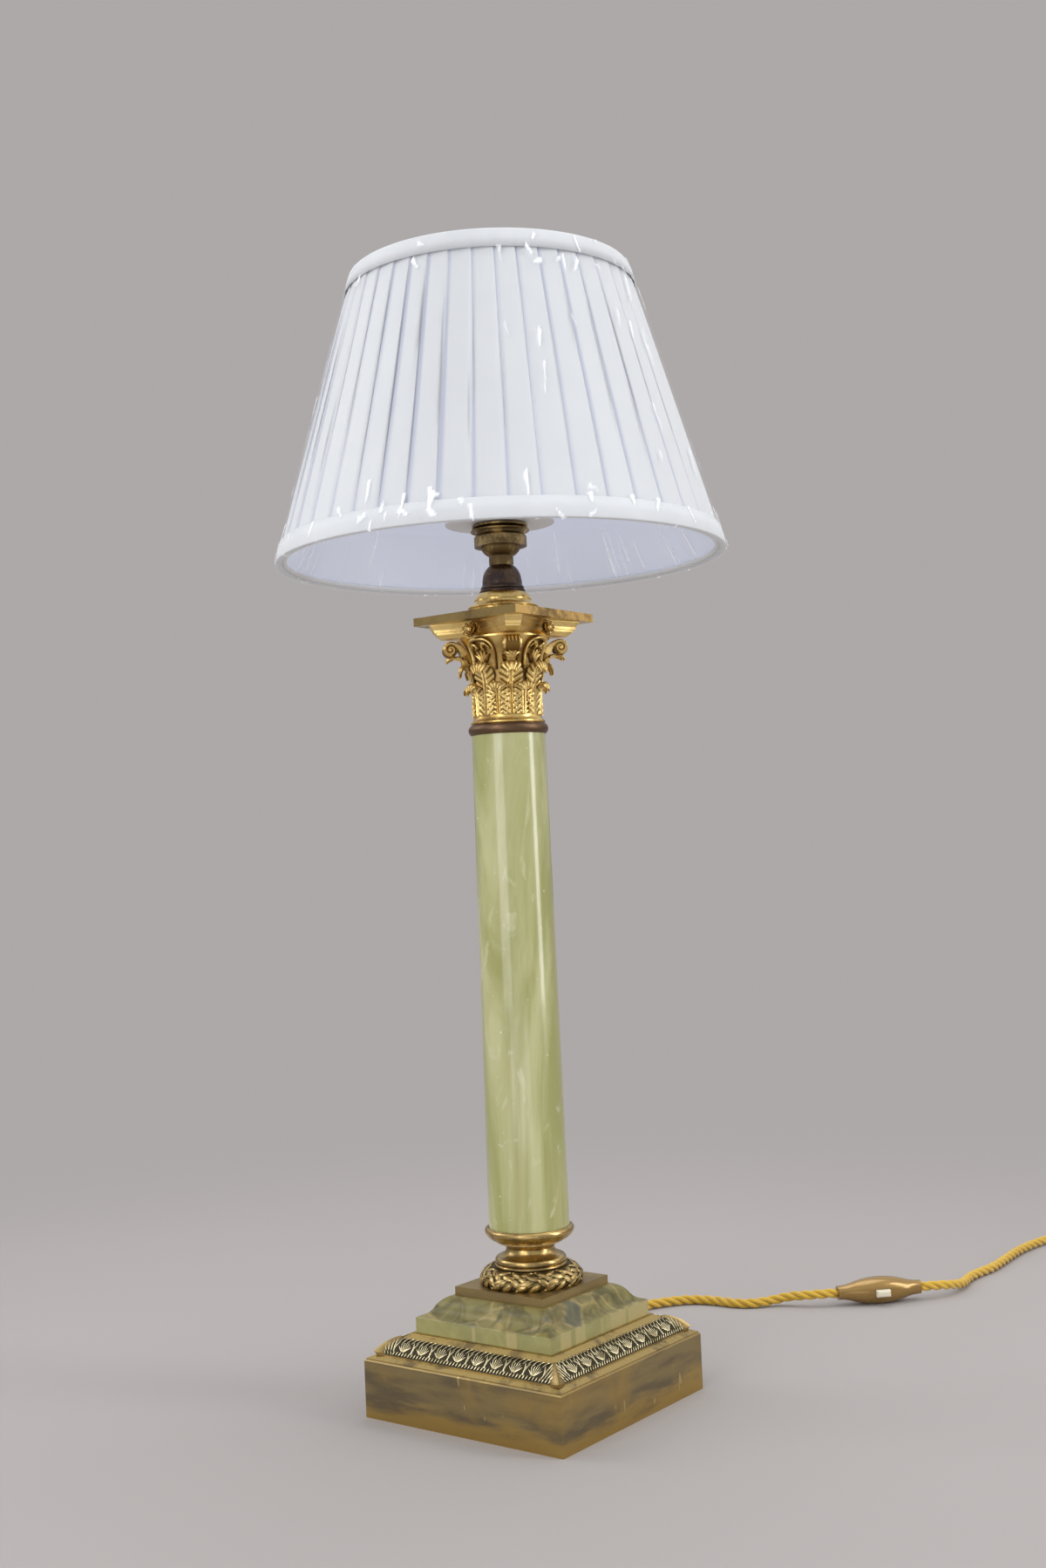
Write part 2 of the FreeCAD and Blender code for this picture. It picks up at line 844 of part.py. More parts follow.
def banded(path, band, width, ridge):
    """A band along a path, with two ridges along its outer face."""
    first = path.Edges[0]
    start = first.valueAt(first.FirstParameter)
    across = FreeCAD.Vector(0, 1, 0)
    out = first.tangentAt(first.FirstParameter).cross(across).normalize()
    half = width / 2
    back = [(half, 0.0), (half * 0.55, ridge), (0.0, 0.0), (half * -0.55, ridge), (-half, 0.0)]
    corners = [start + across * side + out * (band / 2 + lift) for side, lift in back]
    corners += [start - across * half - out * (band / 2), start + across * half - out * (band / 2)]
    section = Part.makePolygon(corners + corners[:1])
    return path.makePipeShell([section], True, False)


def make_corner_scrolls(bell_shape):
    """A scroll with a sunk web and a round eye at each corner, over a leaf's tongue."""
    rise = number("bell_rise")
    radius = number("scroll_radius")
    inner = number("bell_radius")
    band = number("scroll_band")
    width = number("scroll_width")
    centre = spot(number("scroll_axis_reach"), rise - number("scroll_drop"))
    path, foot, last = scroll_path(
        inner + band / 3, number("scroll_stem"), centre, radius, SCROLL_QUARTERS, SCROLL_SHRINK
    )
    strip = banded(path, band, width, number("scroll_ridge"))
    along = FreeCAD.Vector(0, 1, 0)
    eye_radius = number("scroll_eye")
    eye_width = width + eye_radius / 2
    eye = Part.makeCylinder(eye_radius, eye_width, last - along * (eye_width / 2), along)
    web_width = width - number("scroll_recess") * 2
    web = Part.makeCylinder(radius * 0.9, web_width, centre - along * (web_width / 2), along)
    tip = spot(number("tongue_reach"), rise - number("tongue_drop"))
    root = foot + spot(-band, band)
    via = (root + tip) * 0.5 + spot(0.6, -1.2)
    tongue_path = Part.Wire([Part.Arc(root, via, tip).toShape()])
    tongue = banded(tongue_path, number("tongue_thick"), number("tongue_width"), number("tongue_ridge"))
    one = strip.fuse(web).fuse(eye).fuse(tongue)
    ring = ring_of(one.cut(bell_shape), 4, 45.0)
    return tied(shaped("corner_scrolls", ring), bell_seat)


def make_side_scrolls(bell_shape):
    """Pairs of small scrolls that rise as an arch and curl in towards each other under each rosette."""
    apart = number("helix_apart")
    depth = number("helix_depth")
    centre = spot(-apart / 2, number("bell_rise") - number("helix_drop"))
    radius = number("helix_radius")
    path = scroll_path(
        centre.x - number("helix_reach"),
        number("helix_stem"),
        centre,
        radius,
        HELIX_QUARTERS,
        HELIX_SHRINK,
    )[0]
    strip = banded(path, number("helix_band"), depth, number("helix_ridge"))
    other = strip.mirror(FreeCAD.Vector(), FreeCAD.Vector(1, 0, 0))
    pair = Part.makeCompound([strip, other])
    pair.translate(FreeCAD.Vector(0, -number("bell_radius") - depth * 0.9, 0))
    copies = []
    for part in pair.Solids:
        copies += ring_of(part.cut(bell_shape), 4).Solids
    return tied(shaped("side_scrolls", Part.makeCompound(copies)), bell_seat)


def abacus_outline(inset, height):
    """Four hollow sides between cut corners, drawn in by inset."""
    reach = number("abacus_reach") - inset
    half = number("abacus_corner") / 2 - inset * 0.2
    middle = number("abacus_middle") - inset * 0.75
    steps = []
    for i in range(4):
        turn = math.radians(45.0 + 90.0 * i)
        out = FreeCAD.Vector(math.cos(turn), math.sin(turn), 0)
        along = FreeCAD.Vector(-math.sin(turn), math.cos(turn), 0)
        lift = FreeCAD.Vector(0, 0, height)
        near = out * reach - along * half + lift
        far = out * reach + along * half + lift
        face = math.radians(90.0 * i)
        via = FreeCAD.Vector(math.cos(face) * middle, math.sin(face) * middle, height)
        steps.append((near,) if not steps else (via, near))
        steps.append((far,))
    first = steps[0][0]
    steps.append((FreeCAD.Vector(math.cos(0.0) * middle, 0.0, height), first))
    return face_through(steps).OuterWire


def make_abacus():
    rise = number("abacus_rise")
    step = number("abacus_step")
    levels = [(1.0, 0.0), (0.55, 0.28), (0.50, 0.42), (0.36, 0.44), (0.30, 0.62), (0.04, 0.92), (0.0, 1.0)]
    wires = [abacus_outline(step * inset, rise * up) for inset, up in levels]
    solid = Part.makeLoft(wires, True, True)
    bore = Part.makeCylinder(number("bore_radius"), rise * 3, FreeCAD.Vector(0, 0, -rise))
    return tied(shaped("capital_abacus", solid.cut(bore)), abacus_seat)


def make_rosettes(abacus_shape):
    """A flower, a little wider than tall, at the middle of each hollow side of the abacus."""
    radius = number("rosette_radius")
    thick = number("rosette_thick")
    squash = number("rosette_squash")
    count = int(number("rosette_petals"))
    root = radius * 0.8
    steps = [(spot(root, 0.0),)]
    for i in range(count):
        fold = 2 * math.pi * (i + 0.5) / count
        notch = 2 * math.pi * (i + 1) / count
        tip = spot(radius * math.cos(fold), radius * squash * math.sin(fold))
        steps.append((tip, spot(root * math.cos(notch), root * squash * math.sin(notch))))
    petals = face_through(steps).extrude(FreeCAD.Vector(0, -thick, 0))
    outward = FreeCAD.Vector(0, -1, 0)
    eye = number("rosette_boss")
    boss = Part.makeCone(eye, eye * 0.4, thick * 1.5, FreeCAD.Vector(0, -thick, 0), outward)
    back = root * squash
    stalk = Part.makeBox(root, thick * 3, back, FreeCAD.Vector(-root / 2, 0, -back / 2))
    flower = petals.fuse(boss).fuse(stalk)
    out = number("abacus_middle") - thick * 0.2
    up = number("abacus_rise") - radius * squash - number("plate_gap")
    flower.translate(FreeCAD.Vector(0, -out, up))
    copies = []
    for part in ring_of(flower, 4).Solids:
        copies += part.cut(abacus_shape).Solids[:1]
    return tied(shaped("abacus_rosettes", Part.makeCompound(copies)), abacus_seat)


def make_capital():
    bell = make_bell()
    doc.recompute()
    bell_shape = bell.Shape.copy()
    bell_shape.translate(FreeCAD.Vector(0, 0, -bell_seat.number))
    abacus = make_abacus()
    abacus_shape = abacus.Shape.copy()
    pieces = [bell, *make_leaves(), make_corner_scrolls(bell_shape), make_side_scrolls(bell_shape)]
    pieces += [abacus, make_rosettes(abacus_shape)]
    side, thick = size("abacus_plate_side"), size("abacus_plate_thick")
    plate = block("abacus_plate_block", side, side, thick, z=abacus_plate_seat)
    pieces.append(bored("abacus_plate", plate, size("bore_radius"), thick, abacus_plate_seat))
    return pieces


# ---------------------------------------------------------------- cap, cup and tie tube


def make_cap_and_cup():
    bore = size("bore_radius")
    rise = size("cap_rise")
    band = size("cap_band")
    cap = turned(
        "top_cap",
        [
            (bore, 0.0),
            (size("cap_foot") - 0.8, 0.0),
            (size("cap_foot"), band - 1.6),
            (size("cap_foot"), band, 0.9),
            (size("cap_ledge"), band + 3.2, -5.0),
            (size("cap_ledge"), band + 4.4),
            (size("cap_head"), rise, 8.0),
            (bore, rise),
        ],
        cap_seat,
    )
    tall = size("dark_cup_rise")
    body = size("dark_cup_body")
    tube_room = size("tube_radius") + size("plate_gap")
    cup = turned(
        "dark_cup",
        [
            (tube_room, 0.0),
            (size("dark_cup_foot"), 0.0),
            (size("dark_cup_foot"), 1.6, 1.0),
            (body + 0.9, 2.2),
            (body + 0.7, 4.0, 1.2),
            (body, 5.4),
            (body - 0.4, 9.6, 20.0),
            (size("dark_cup_head"), tall, 13.0),
            (tube_room, tall),
        ],
        dark_cup_seat,
    )
    return [cap, cup]


def make_tie():
    washer_top = size("plinth_face") - size("plinth_wall")
    nut_top = washer_top - size("washer_thick")
    foot = nut_top - size("nut_thick") - size("tube_tail") / 3.0
    length = holder_seat + size("tube_head") - foot
    tube = turned(
        "tie_tube",
        [
            (size("tube_bore"), 0.0),
            (size("tube_radius"), 0.0),
            (size("tube_radius"), length),
            (size("tube_bore"), length),
        ],
        foot,
    )
    washer = turned(
        "tie_washer",
        [
            (size("tube_radius"), 0.0),
            (size("washer_radius"), 0.0),
            (size("washer_radius"), size("washer_thick")),
            (size("tube_radius"), size("washer_thick")),
        ],
        nut_top,
    )
    hexagon = doc.addObject("Part::Prism", "nut_hexagon")
    hexagon.Polygon = 6
    bind(hexagon, "Circumradius", size("nut_across") / math.sqrt(3.0))
    bind(hexagon, "Height", size("nut_thick"))
    place(hexagon, z=nut_top - size("nut_thick"))
    nut = bored("tie_nut", hexagon, size("tube_radius"), size("nut_thick"), nut_top - size("nut_thick"))
    return [tube, washer, nut]


# ---------------------------------------------------------------- lampholder


def make_holder_cap():
    neck = size("neck_length")
    rise = neck + size("dome_rise")
    wall = size("holder_wall")
    reach = size("dome_reach")
    bore = size("tube_radius")
    return turned(
        "lampholder_cap",
        [
            (bore, 0.0),
            (size("holder_neck"), 0.0),
            (size("holder_neck"), neck - 1.0, 30.0),
            (reach, rise - 1.4, 9.0),
            (reach, rise),
            (reach - wall, rise),
            (reach - wall, rise - 1.6),
            (bore, neck + 0.6, -14.0),
        ],
        holder_seat,
    )


def make_barrel():
    outer = size("barrel_radius")
    rise = size("barrel_rise")
    step = rise - size("socket_depth")
    barrel = turned(
        "barrel_blank",
        [
            (size("barrel_seat"), 0.0),
            (outer, 0.0),
            (outer, rise - 0.6),
            (outer - 0.6, rise),
            (size("barrel_bore"), rise),
            (size("barrel_bore"), step),
            (size("barrel_seat"), step),
        ],
        barrel_seat_height,
    )
    wide = size("barrel_radius") * 2.0 + 4.0
    depth = size("slot_depth")
    top = barrel_seat_height + rise - depth
    straight = block("slot_straight", wide, size("slot_width"), depth, z=top)
    up = FreeCAD.Vector(0, 0, 1)
    sector = Part.makeCylinder(
        wide.number, number("slot_width"), FreeCAD.Vector(), up, number("slot_turn")
    )
    other = sector.copy()
    other.rotate(FreeCAD.Vector(), up, 180)
    hooks = tied(shaped("slot_hooks", Part.makeCompound([sector, other])), top)
    cut = joined("Cut", "barrel_slotted", barrel, straight)
    return joined("Cut", "lampholder_barrel", cut, hooks)


def threaded_ring(label, section, seat):
    hole = size("barrel_radius") + size("thread_play")
    return turned(label, [(hole, 0.0), *section, (hole, section[-1][1])], seat)


def make_holder_rings():
    skirt_rise = size("skirt_rise")
    chamfer = size("skirt_chamfer")
    skirt = threaded_ring(
        "lampholder_skirt",
        [
            (size("skirt_reach"), 0.0),
            (size("skirt_reach"), skirt_rise - chamfer),
            (size("ring_neck"), skirt_rise),
        ],
        skirt_seat,
    )
    rise = size("shade_ring_rise")
    low = threaded_ring(
        "lower_shade_ring",
        [
            (size("ring_neck"), 0.0),
            (size("ring_neck"), rise * 0.4),
            (size("ring_low_reach"), rise * 0.55, -2.6),
            (size("ring_low_reach"), rise * 0.85, 0.8),
            (size("ring_neck"), rise),
        ],
        ring_low_seat,
    )
    high_section = [
        (size("ring_neck"), 0.0),
        (size("ring_high_reach"), rise * 0.35),
        (size("ring_high_reach"), rise * 0.75, 1.0),
        (size("ring_neck"), rise),
    ]
    high = threaded_ring("upper_shade_ring", high_section, ring_high_seat)
    clamp = threaded_ring("shade_clamp_ring", high_section, clamp_seat)
    return [skirt, low, high, clamp]


def make_contacts():
    rise = size("insulator_rise")
    top = barrel_seat_height + size("barrel_rise") - size("socket_depth") - size("insulator_drop")
    foot = top - rise
    core = drum("insulator_core", size("barrel_seat"), rise, z=foot)
    apart = size("plunger_apart") / 2.0
    hole = size("plunger_radius") + size("plunger_play")
    pieces = []
    for side, name in ((1.0, "right"), (-1.0, "left")):
        bore = drum(f"plunger_hole_{name}", hole, rise * 2.0, apart * side, 0.0, foot - rise / 2.0)
        core = joined("Cut", f"insulator_{name}", core, bore)
        tip = top + size("plunger_proud")
        plunger = simple(
            "Cylinder",
            f"contact_plunger_{name}",
            {"Radius": size("plunger_radius"), "Height": size("plunger_length")},
            apart * side,
            0.0,
            tip - size("plunger_length"),
        )
        pieces.append(plunger)
    core.Label = "lampholder_insulator"
    return [core, *pieces]


# ---------------------------------------------------------------- shade


def shade_radius(height, base_radius):
    """Radius of a shell that is base_radius at the bottom rim and keeps the shade's slope."""
    slope = (number("shade_rim") - number("shade_head")) / number("shade_rise")
    return base_radius - slope * height


def shell_section(outer, inner, low, high):
    """Half section of a conical shell between two heights over the shade's bottom rim."""
    return face_through(
        [
            (spot(shade_radius(low, inner), low),),
            (spot(shade_radius(low, outer), low),),
            (spot(shade_radius(high, outer), high),),
            (spot(shade_radius(high, inner), high),),
        ]
    )


def spun(face):
    return face.revolve(FreeCAD.Vector(), FreeCAD.Vector(0, 0, 1), 360)


def make_carrier():
    hole = size("barrel_radius") + size("disc_play")
    disc = turned(
        "shade_carrier_disc",
        [
            (hole, 0.0),
            (size("disc_radius"), 0.0),
            (size("disc_radius"), size("disc_thick")),
            (hole, size("disc_thick")),
        ],
        disc_seat,
    )
    drop = number("shade_drop")
    wire = number("wire_radius")
    top = number("shade_rise") - number("binding_thick") - wire * 1.2
    inner = number("shade_rim") - number("binding_thick") - number("cover_thick")
    inner = inner - number("pleat_depth") - number("lining_thick")
    low = number("binding_thick") + wire * 1.2
    top_radius = shade_radius(top, inner) - wire * 1.1
    low_radius = shade_radius(low, inner) - wire * 1.1
    rings = []
    for label, radius, up in (("shade_top_ring", top_radius, top), ("shade_bottom_ring", low_radius, low)):
        ring = Part.makeTorus(radius, wire, FreeCAD.Vector(0, 0, up))
        rings.append(tied(shaped(label, ring), shade_seat))
    arm = number("arm_radius")
    foot = FreeCAD.Vector(number("disc_radius") - arm * 2, 0, drop + number("disc_thick"))
    knee = foot + FreeCAD.Vector(0, 0, number("arm_bend"))
    head = FreeCAD.Vector(top_radius - wire, 0, top - wire - arm * 0.4)
    lower_run = number("arm_bend") * 0.6
    slant = (head - knee).normalize()
    start, end = knee - FreeCAD.Vector(0, 0, lower_run), knee + slant * lower_run
    middle = knee + (slant - FreeCAD.Vector(0, 0, 1)) * (lower_run * 0.22)
    path = Part.Wire(
        [
            Part.LineSegment(foot, start).toShape(),
            Part.Arc(start, middle, end).toShape(),
            Part.LineSegment(end, head).toShape(),
        ]
    )
    section = Part.Wire([Part.makeCircle(arm, foot, FreeCAD.Vector(0, 0, 1))])
    one = path.makePipeShell([section], True, False)
    arms = ring_of(one.cut(rings[0].Shape), number("arm_count"), 90.0)
    return [disc, tied(shaped("shade_arms", arms), shade_seat), *rings]


def pleated_wire(root, depth, height):
    """Knife pleats: each rises slowly from the root circle to its fold and falls back in one step."""
    count = int(number("pleat_count"))
    points = []
    for i in range(count):
        start = 2 * math.pi * i / count
        fold = 2 * math.pi * (i + PLEAT_LEAN) / count
        for angle, radius in ((start, root), (fold, root + depth)):
            points.append(FreeCAD.Vector(radius * math.cos(angle), radius * math.sin(angle), height))
    return Part.makePolygon(points + points[:1])


def pleated_cone(root, depth, low, high):
    """A solid pleated cone between two heights, whose pleats narrow with the shade."""
    wires = []
    for height in (low, high):
        radius = shade_radius(height, root)
        wires.append(pleated_wire(radius, depth * radius / root, height))
    return Part.makeLoft(wires, True, True)


def make_shade_skins():
    rise = number("shade_rise")
    turn = number("binding_thick")
    rim = number("shade_rim")
    fold = rim - turn
    root = fold - number("cover_play") - number("pleat_depth")
    back = root - number("cover_thick")
    inside = back - number("lining_thick")
    low, high = turn, rise - turn
    lining = spun(shell_section(back, inside, low, high))
    flat_side = math.cos(math.pi * PLEAT_LEAN / number("pleat_count"))
    hollow = pleated_cone(back / flat_side, 0.0, low - 1.0, high + 1.0)
    cover = pleated_cone(root, number("pleat_depth"), low, high).cut(hollow)
    lip = inside - turn
    bindings = []
    for label, near, far in (
        ("bottom_binding", 0.0, number("binding_low")),
        ("top_binding", rise, rise - number("binding_high")),
    ):
        inward = low if near == 0.0 else high
        band = face_through(
            [
                (spot(shade_radius(near, lip), near),),
                (spot(shade_radius(near, rim), near),),
                (spot(shade_radius(far, rim), far),),
                (spot(shade_radius(far, fold), far),),
                (spot(shade_radius(inward, fold), inward),),
                (spot(shade_radius(inward, lip), inward),),
            ]
        )
        bindings.append((label, spun(band)))
    film_in = rim + number("film_gap")
    film_out = film_in + number("film_thick")
    film = spun(shell_section(film_out, film_in, 0.0, rise))
    pieces = [("shade_lining", lining), ("pleated_cover", cover), *bindings, ("shade_film", film)]
    return [tied(shaped(label, solid), shade_seat) for label, solid in pieces]


# ---------------------------------------------------------------- flex and wiring


def arc_path(points, label):
    """Straight runs joined by tangent arcs, each as large as its two runs allow."""
    edges = []
    radii = []
    here = FreeCAD.Vector(*points[0])
    for before, corner, after in zip(points, points[1:], points[2:]):
        a, b, c = (FreeCAD.Vector(*p) for p in (before, corner, after))
        back, ahead = a - b, c - b
        turn = math.pi - back.getAngle(ahead)
        reach = 0.45 * min(back.Length, ahead.Length)
        radius = reach / math.tan(turn / 2)
        radii.append(radius)
        back.normalize()
        ahead.normalize()
        start, end = b + back * reach, b + ahead * reach
        inward = (back + ahead).normalize()
        middle = b + inward * (radius / math.cos(turn / 2) - radius)
        edges.append(Part.LineSegment(here, start).toShape())
        edges.append(Part.Arc(start, middle, end).toShape())
        here = end
    edges.append(Part.LineSegment(here, FreeCAD.Vector(*points[-1])).toShape())
    print(label, "bend radii", [round(r) for r in radii])
    return Part.Wire(edges)


def tube(path, diameter, label):
    first = path.Edges[0]
    start = first.valueAt(first.FirstParameter)
    along = first.tangentAt(first.FirstParameter)
    section = Part.Wire([Part.makeCircle(diameter / 2, start, along)])
    solid = path.makePipeShell([section], True, False)
    expected = math.pi * diameter * diameter / 4 * path.Length
    print(label, "length", round(path.Length, 1), "volume ratio", round(solid.Volume / expected, 4))
    return solid


def biarc(start, start_way, end, end_way):
    """Two tangent arcs from one point and direction to another."""
    gap = end - start
    both = start_way + end_way
    spread = 2 * (1 - start_way.dot(end_way))
    root = math.sqrt(gap.dot(both) ** 2 + spread * gap.dot(gap))
    reach = (root - gap.dot(both)) / spread
    joint = (start + start_way * reach + end - end_way * reach) * 0.5
    arcs = []
    for near, way, far in ((start, start_way, joint), (end, end_way * -1.0, joint)):
        chord = far - near
        lean = way - chord * (way.dot(chord) / chord.dot(chord))
        half_turn = way.getAngle(chord)
        lift = chord.Length / 2 * math.tan(half_turn / 2)
        middle = near + chord * 0.5 + lean.normalize() * lift
        arcs.append((near, middle, far))
    first, second = arcs
    return [Part.Arc(*first).toShape(), Part.Arc(*reversed(second)).toShape()]


def coil_layers():
    low = number("flex") / 2
    return low, low + number("coil_pitch")


def coil_ends():
    """Where the coil starts, its direction there and its middle."""
    before, start = (FreeCAD.Vector(*p) for p in PLUG_ROUTE[-2:])
    way = (start - before).normalize()
    begin = start + way * number("flex")
    right = FreeCAD.Vector(way.y, -way.x, 0)
    return start, way, begin, begin + right * number("coil_reach")


def coil_point(centre, begin_angle, turned_by):
    """A point of the winding: in over the lower layer, up at the middle, out over the upper one."""
    total = 2 * math.pi * number("coil_turns")
    wound = min(turned_by, total - turned_by)
    radius = number("coil_reach") - number("coil_pitch") * wound / (2 * math.pi)
    low, high = coil_layers()
    climb = min(max((turned_by - total / 2) / math.pi + 0.5, 0.0), 1.0)
    height = low + (high - low) * climb * climb * (3 - 2 * climb)
    angle = begin_angle - turned_by
    return FreeCAD.Vector(
        centre.x + radius * math.cos(angle), centre.y + radius * math.sin(angle), height
    )


def coil_path():
    start, way, begin, centre = coil_ends()
    begin_angle = math.atan2(begin.y - centre.y, begin.x - centre.x)
    total = 2 * math.pi * number("coil_turns")
    quarters = max(4, round(number("coil_turns") * 4))
    small = 0.02
    places, ways = [], []
    for i in range(quarters + 1):
        turned_by = total * i / quarters
        places.append(coil_point(centre, begin_angle, turned_by))
        ahead = coil_point(centre, begin_angle, min(turned_by + small, total))
        behind = coil_point(centre, begin_angle, max(turned_by - small, 0.0))
        ways.append((ahead - behind).normalize())
    ways[0] = way
    places[0] = begin
    end_angle = begin_angle - total
    ways[-1] = FreeCAD.Vector(math.sin(end_angle), -math.cos(end_angle), 0)
    edges = [Part.LineSegment(start, begin).toShape()]
    for i in range(quarters):
        edges += biarc(places[i], ways[i], places[i + 1], ways[i + 1])
    tail = places[-1] + ways[-1] * number("coil_tail")
    edges.append(Part.LineSegment(places[-1], tail).toShape())
    return Part.Wire(edges), tail, ways[-1]


def least_gap(path, diameter):
    """The least clear distance between stretches of the winding that lie beside each other."""
    points = path.discretize(Distance=diameter / 3)
    apart = int(3 * diameter / (diameter / 3))
    least = min(
        (points[i] - points[j]).Length
        for i in range(len(points))
        for j in range(i + 2 * apart, len(points))
    )
    return least - diameter


def make_flex():
    flex = number("flex")
    lamp_run = tube(arc_path(LAMP_ROUTE, "flex_lamp_run"), flex, "flex_lamp_run")
    plug_run = tube(arc_path(PLUG_ROUTE, "flex_plug_run"), flex, "flex_plug_run")
    path, tail, way = coil_path()
    winding = tube(path, flex, "flex_coil")
    print("flex_coil least gap", round(least_gap(path, flex), 2))
    pieces = [
        shaped("flex_lamp_run", lamp_run),
        shaped("flex_plug_run", plug_run),
        shaped("flex_coil", winding),
    ]
    return pieces, tail, way


def make_wiring():
    """The bush in the rear wall, the cores that run up the tie tube, and the clip that holds them."""
    half = number("plinth_side") / 2
    wall = number("plinth_wall")
    up = number("exit_height")
    back = FreeCAD.Vector(0, 1, 0)
    hole = number("core_bundle") / 2 + number("core_play")
    flange = number("bush_flange")
    relief = number("relief_length")
    bush = Part.makeCylinder(number("bush_stem"), wall * 2, FreeCAD.Vector(0, half - wall * 2, up), back)
    plate = Part.makeCylinder(number("bush_reach"), flange, FreeCAD.Vector(0, half, up), back)
    sleeve = Part.makeCone(
        number("relief_root"),
        number("relief_tip"),
        relief - flange,
        FreeCAD.Vector(0, half + flange, up),
        back,
    )
    through = Part.makeCylinder(
        hole, wall * 2 + relief, FreeCAD.Vector(0, half - wall * 2, up), back
    )
    bush = bush.fuse([plate, sleeve]).cut(through).removeSplitter()
    turn = number("core_turn")
    start = FreeCAD.Vector(0, LAMP_ROUTE[0][1], up)
    bend_start = FreeCAD.Vector(0, turn, up)
    bend_end = FreeCAD.Vector(0, 0, up + turn)
    dip = turn * (1 - math.sqrt(0.5))
    socket_step = barrel_seat_height.number + number("barrel_rise") - number("socket_depth")
    head = FreeCAD.Vector(0, 0, socket_step - number("insulator_drop") - number("insulator_rise"))
    path = Part.Wire(
        [
            Part.LineSegment(start, bend_start).toShape(),
            Part.Arc(bend_start, FreeCAD.Vector(0, dip, up + dip), bend_end).toShape(),
            Part.LineSegment(bend_end, head).toShape(),
        ]
    )
    cores = tube(path, number("core_bundle"), "lamp_cores")
    reach = number("core_bundle") / 2
    thick = number("clip_thick")
    width = number("clip_width")
    floor = number("felt_thick") + number("underplate_thick")
    arch_size = (reach * 2 + thick * 2, width, up + reach + thick - floor)
    saddle = Part.makeBox(*arch_size, FreeCAD.Vector(-reach - thick, half / 2, floor))
    opening = Part.makeBox(reach * 2, width, up - floor, FreeCAD.Vector(-reach, half / 2, floor))
    round_top = Part.makeCylinder(reach, width, FreeCAD.Vector(0, half / 2, up), back)
    foot_reach = reach + thick + width
    feet = Part.makeBox(foot_reach * 2, width, thick, FreeCAD.Vector(-foot_reach, half / 2, floor))
    saddle = saddle.fuse(feet).cut(opening).cut(round_top)
    screws = []
    for side in (-1.0, 1.0):
        place_of = FreeCAD.Vector(side * (reach + thick + width / 2), half / 2 + width / 2, floor + thick)
        screws.append(Part.makeCylinder(width * 0.28, thick, place_of))
    return [
        shaped("flex_bush", bush),
        shaped("lamp_cores", cores),
        shaped("core_clip", saddle.removeSplitter()),
        shaped("clip_screws", Part.makeCompound(screws)),
    ]


# ---------------------------------------------------------------- switch and plug


def on_flex(solid, start, way):
    """Lays a solid drawn along +X at the origin onto a point and direction of the flex."""
    turn = math.degrees(math.atan2(way.y, way.x))
    solid = solid.copy()
    solid.rotate(FreeCAD.Vector(), FreeCAD.Vector(0, 0, 1), turn)
    solid.translate(start)
    return solid


def make_switch():
    """A torpedo switch in two halves, with a bar that is pushed through from side to side."""
    start, end = FreeCAD.Vector(*LAMP_ROUTE[-1]), FreeCAD.Vector(*PLUG_ROUTE[0])
    way = (end - start).normalize()
    length = (end - start).Length
    radius = number("switch_radius")
    tip = number("switch_tip")
    profile = face_through(
        [
            (spot(0.0, 0.0),),
            (spot(0.0, tip),),
            (spot(length * 0.08, tip + 0.3), spot(length * 0.17, tip + 1.6)),
            (spot(length * 0.5, radius), spot(length * 0.83, tip + 1.6)),
            (spot(length * 0.92, tip + 0.3), spot(length, tip)),
            (spot(length, 0.0),),
        ]
    )
    torpedo = profile.revolve(FreeCAD.Vector(), FreeCAD.Vector(1, 0, 0), 360)
    flat = number("switch_flat")
    under = Part.makeBox(length, radius * 4, radius, FreeCAD.Vector(0, -radius * 2, flat - radius * 2))
    torpedo = torpedo.cut(under)
    play = number("bar_play")
    wide, thick, long = number("bar_width"), number("bar_thick"), number("bar_length")
    slot = Part.makeBox(
        wide + play * 2,
        radius * 4,
        thick + play * 2,
        FreeCAD.Vector(length / 2 - wide / 2 - play, -radius * 2, -thick / 2 - play),
    )
    torpedo = torpedo.cut(slot)
    half_space = Part.makeBox(length * 2, radius * 4, radius * 2, FreeCAD.Vector(-1, -radius * 2, 0))
    upper = torpedo.common(half_space)
    lower = torpedo.cut(half_space)
    near = -long / 2 - number("bar_travel") / 2
    bar = Part.makeBox(wide, long, thick, FreeCAD.Vector(length / 2 - wide / 2, near, -thick / 2))
    bar = bar.makeFillet(thick * 0.3, [e for e in bar.Edges if abs(e.tangentAt(0).y) < 0.5])
    screw = Part.makeCylinder(1.6, 0.5, FreeCAD.Vector(0, 0, -radius + number("switch_flat")))
    screws = []
    for share in (0.27, 0.73):
        head = screw.copy()
        head.translate(FreeCAD.Vector(length * share, 0, radius * 0.22))
        screws.append(head)
    lower = lower.cut(Part.makeCompound(screws))
    parts = {
        "switch_upper_half": upper,
        "switch_lower_half": lower,
        "switch_push_bar": bar,
        "switch_screws": Part.makeCompound(screws).common(torpedo),
    }
    return [shaped(label, on_flex(solid, start, way)) for label, solid in parts.items()]


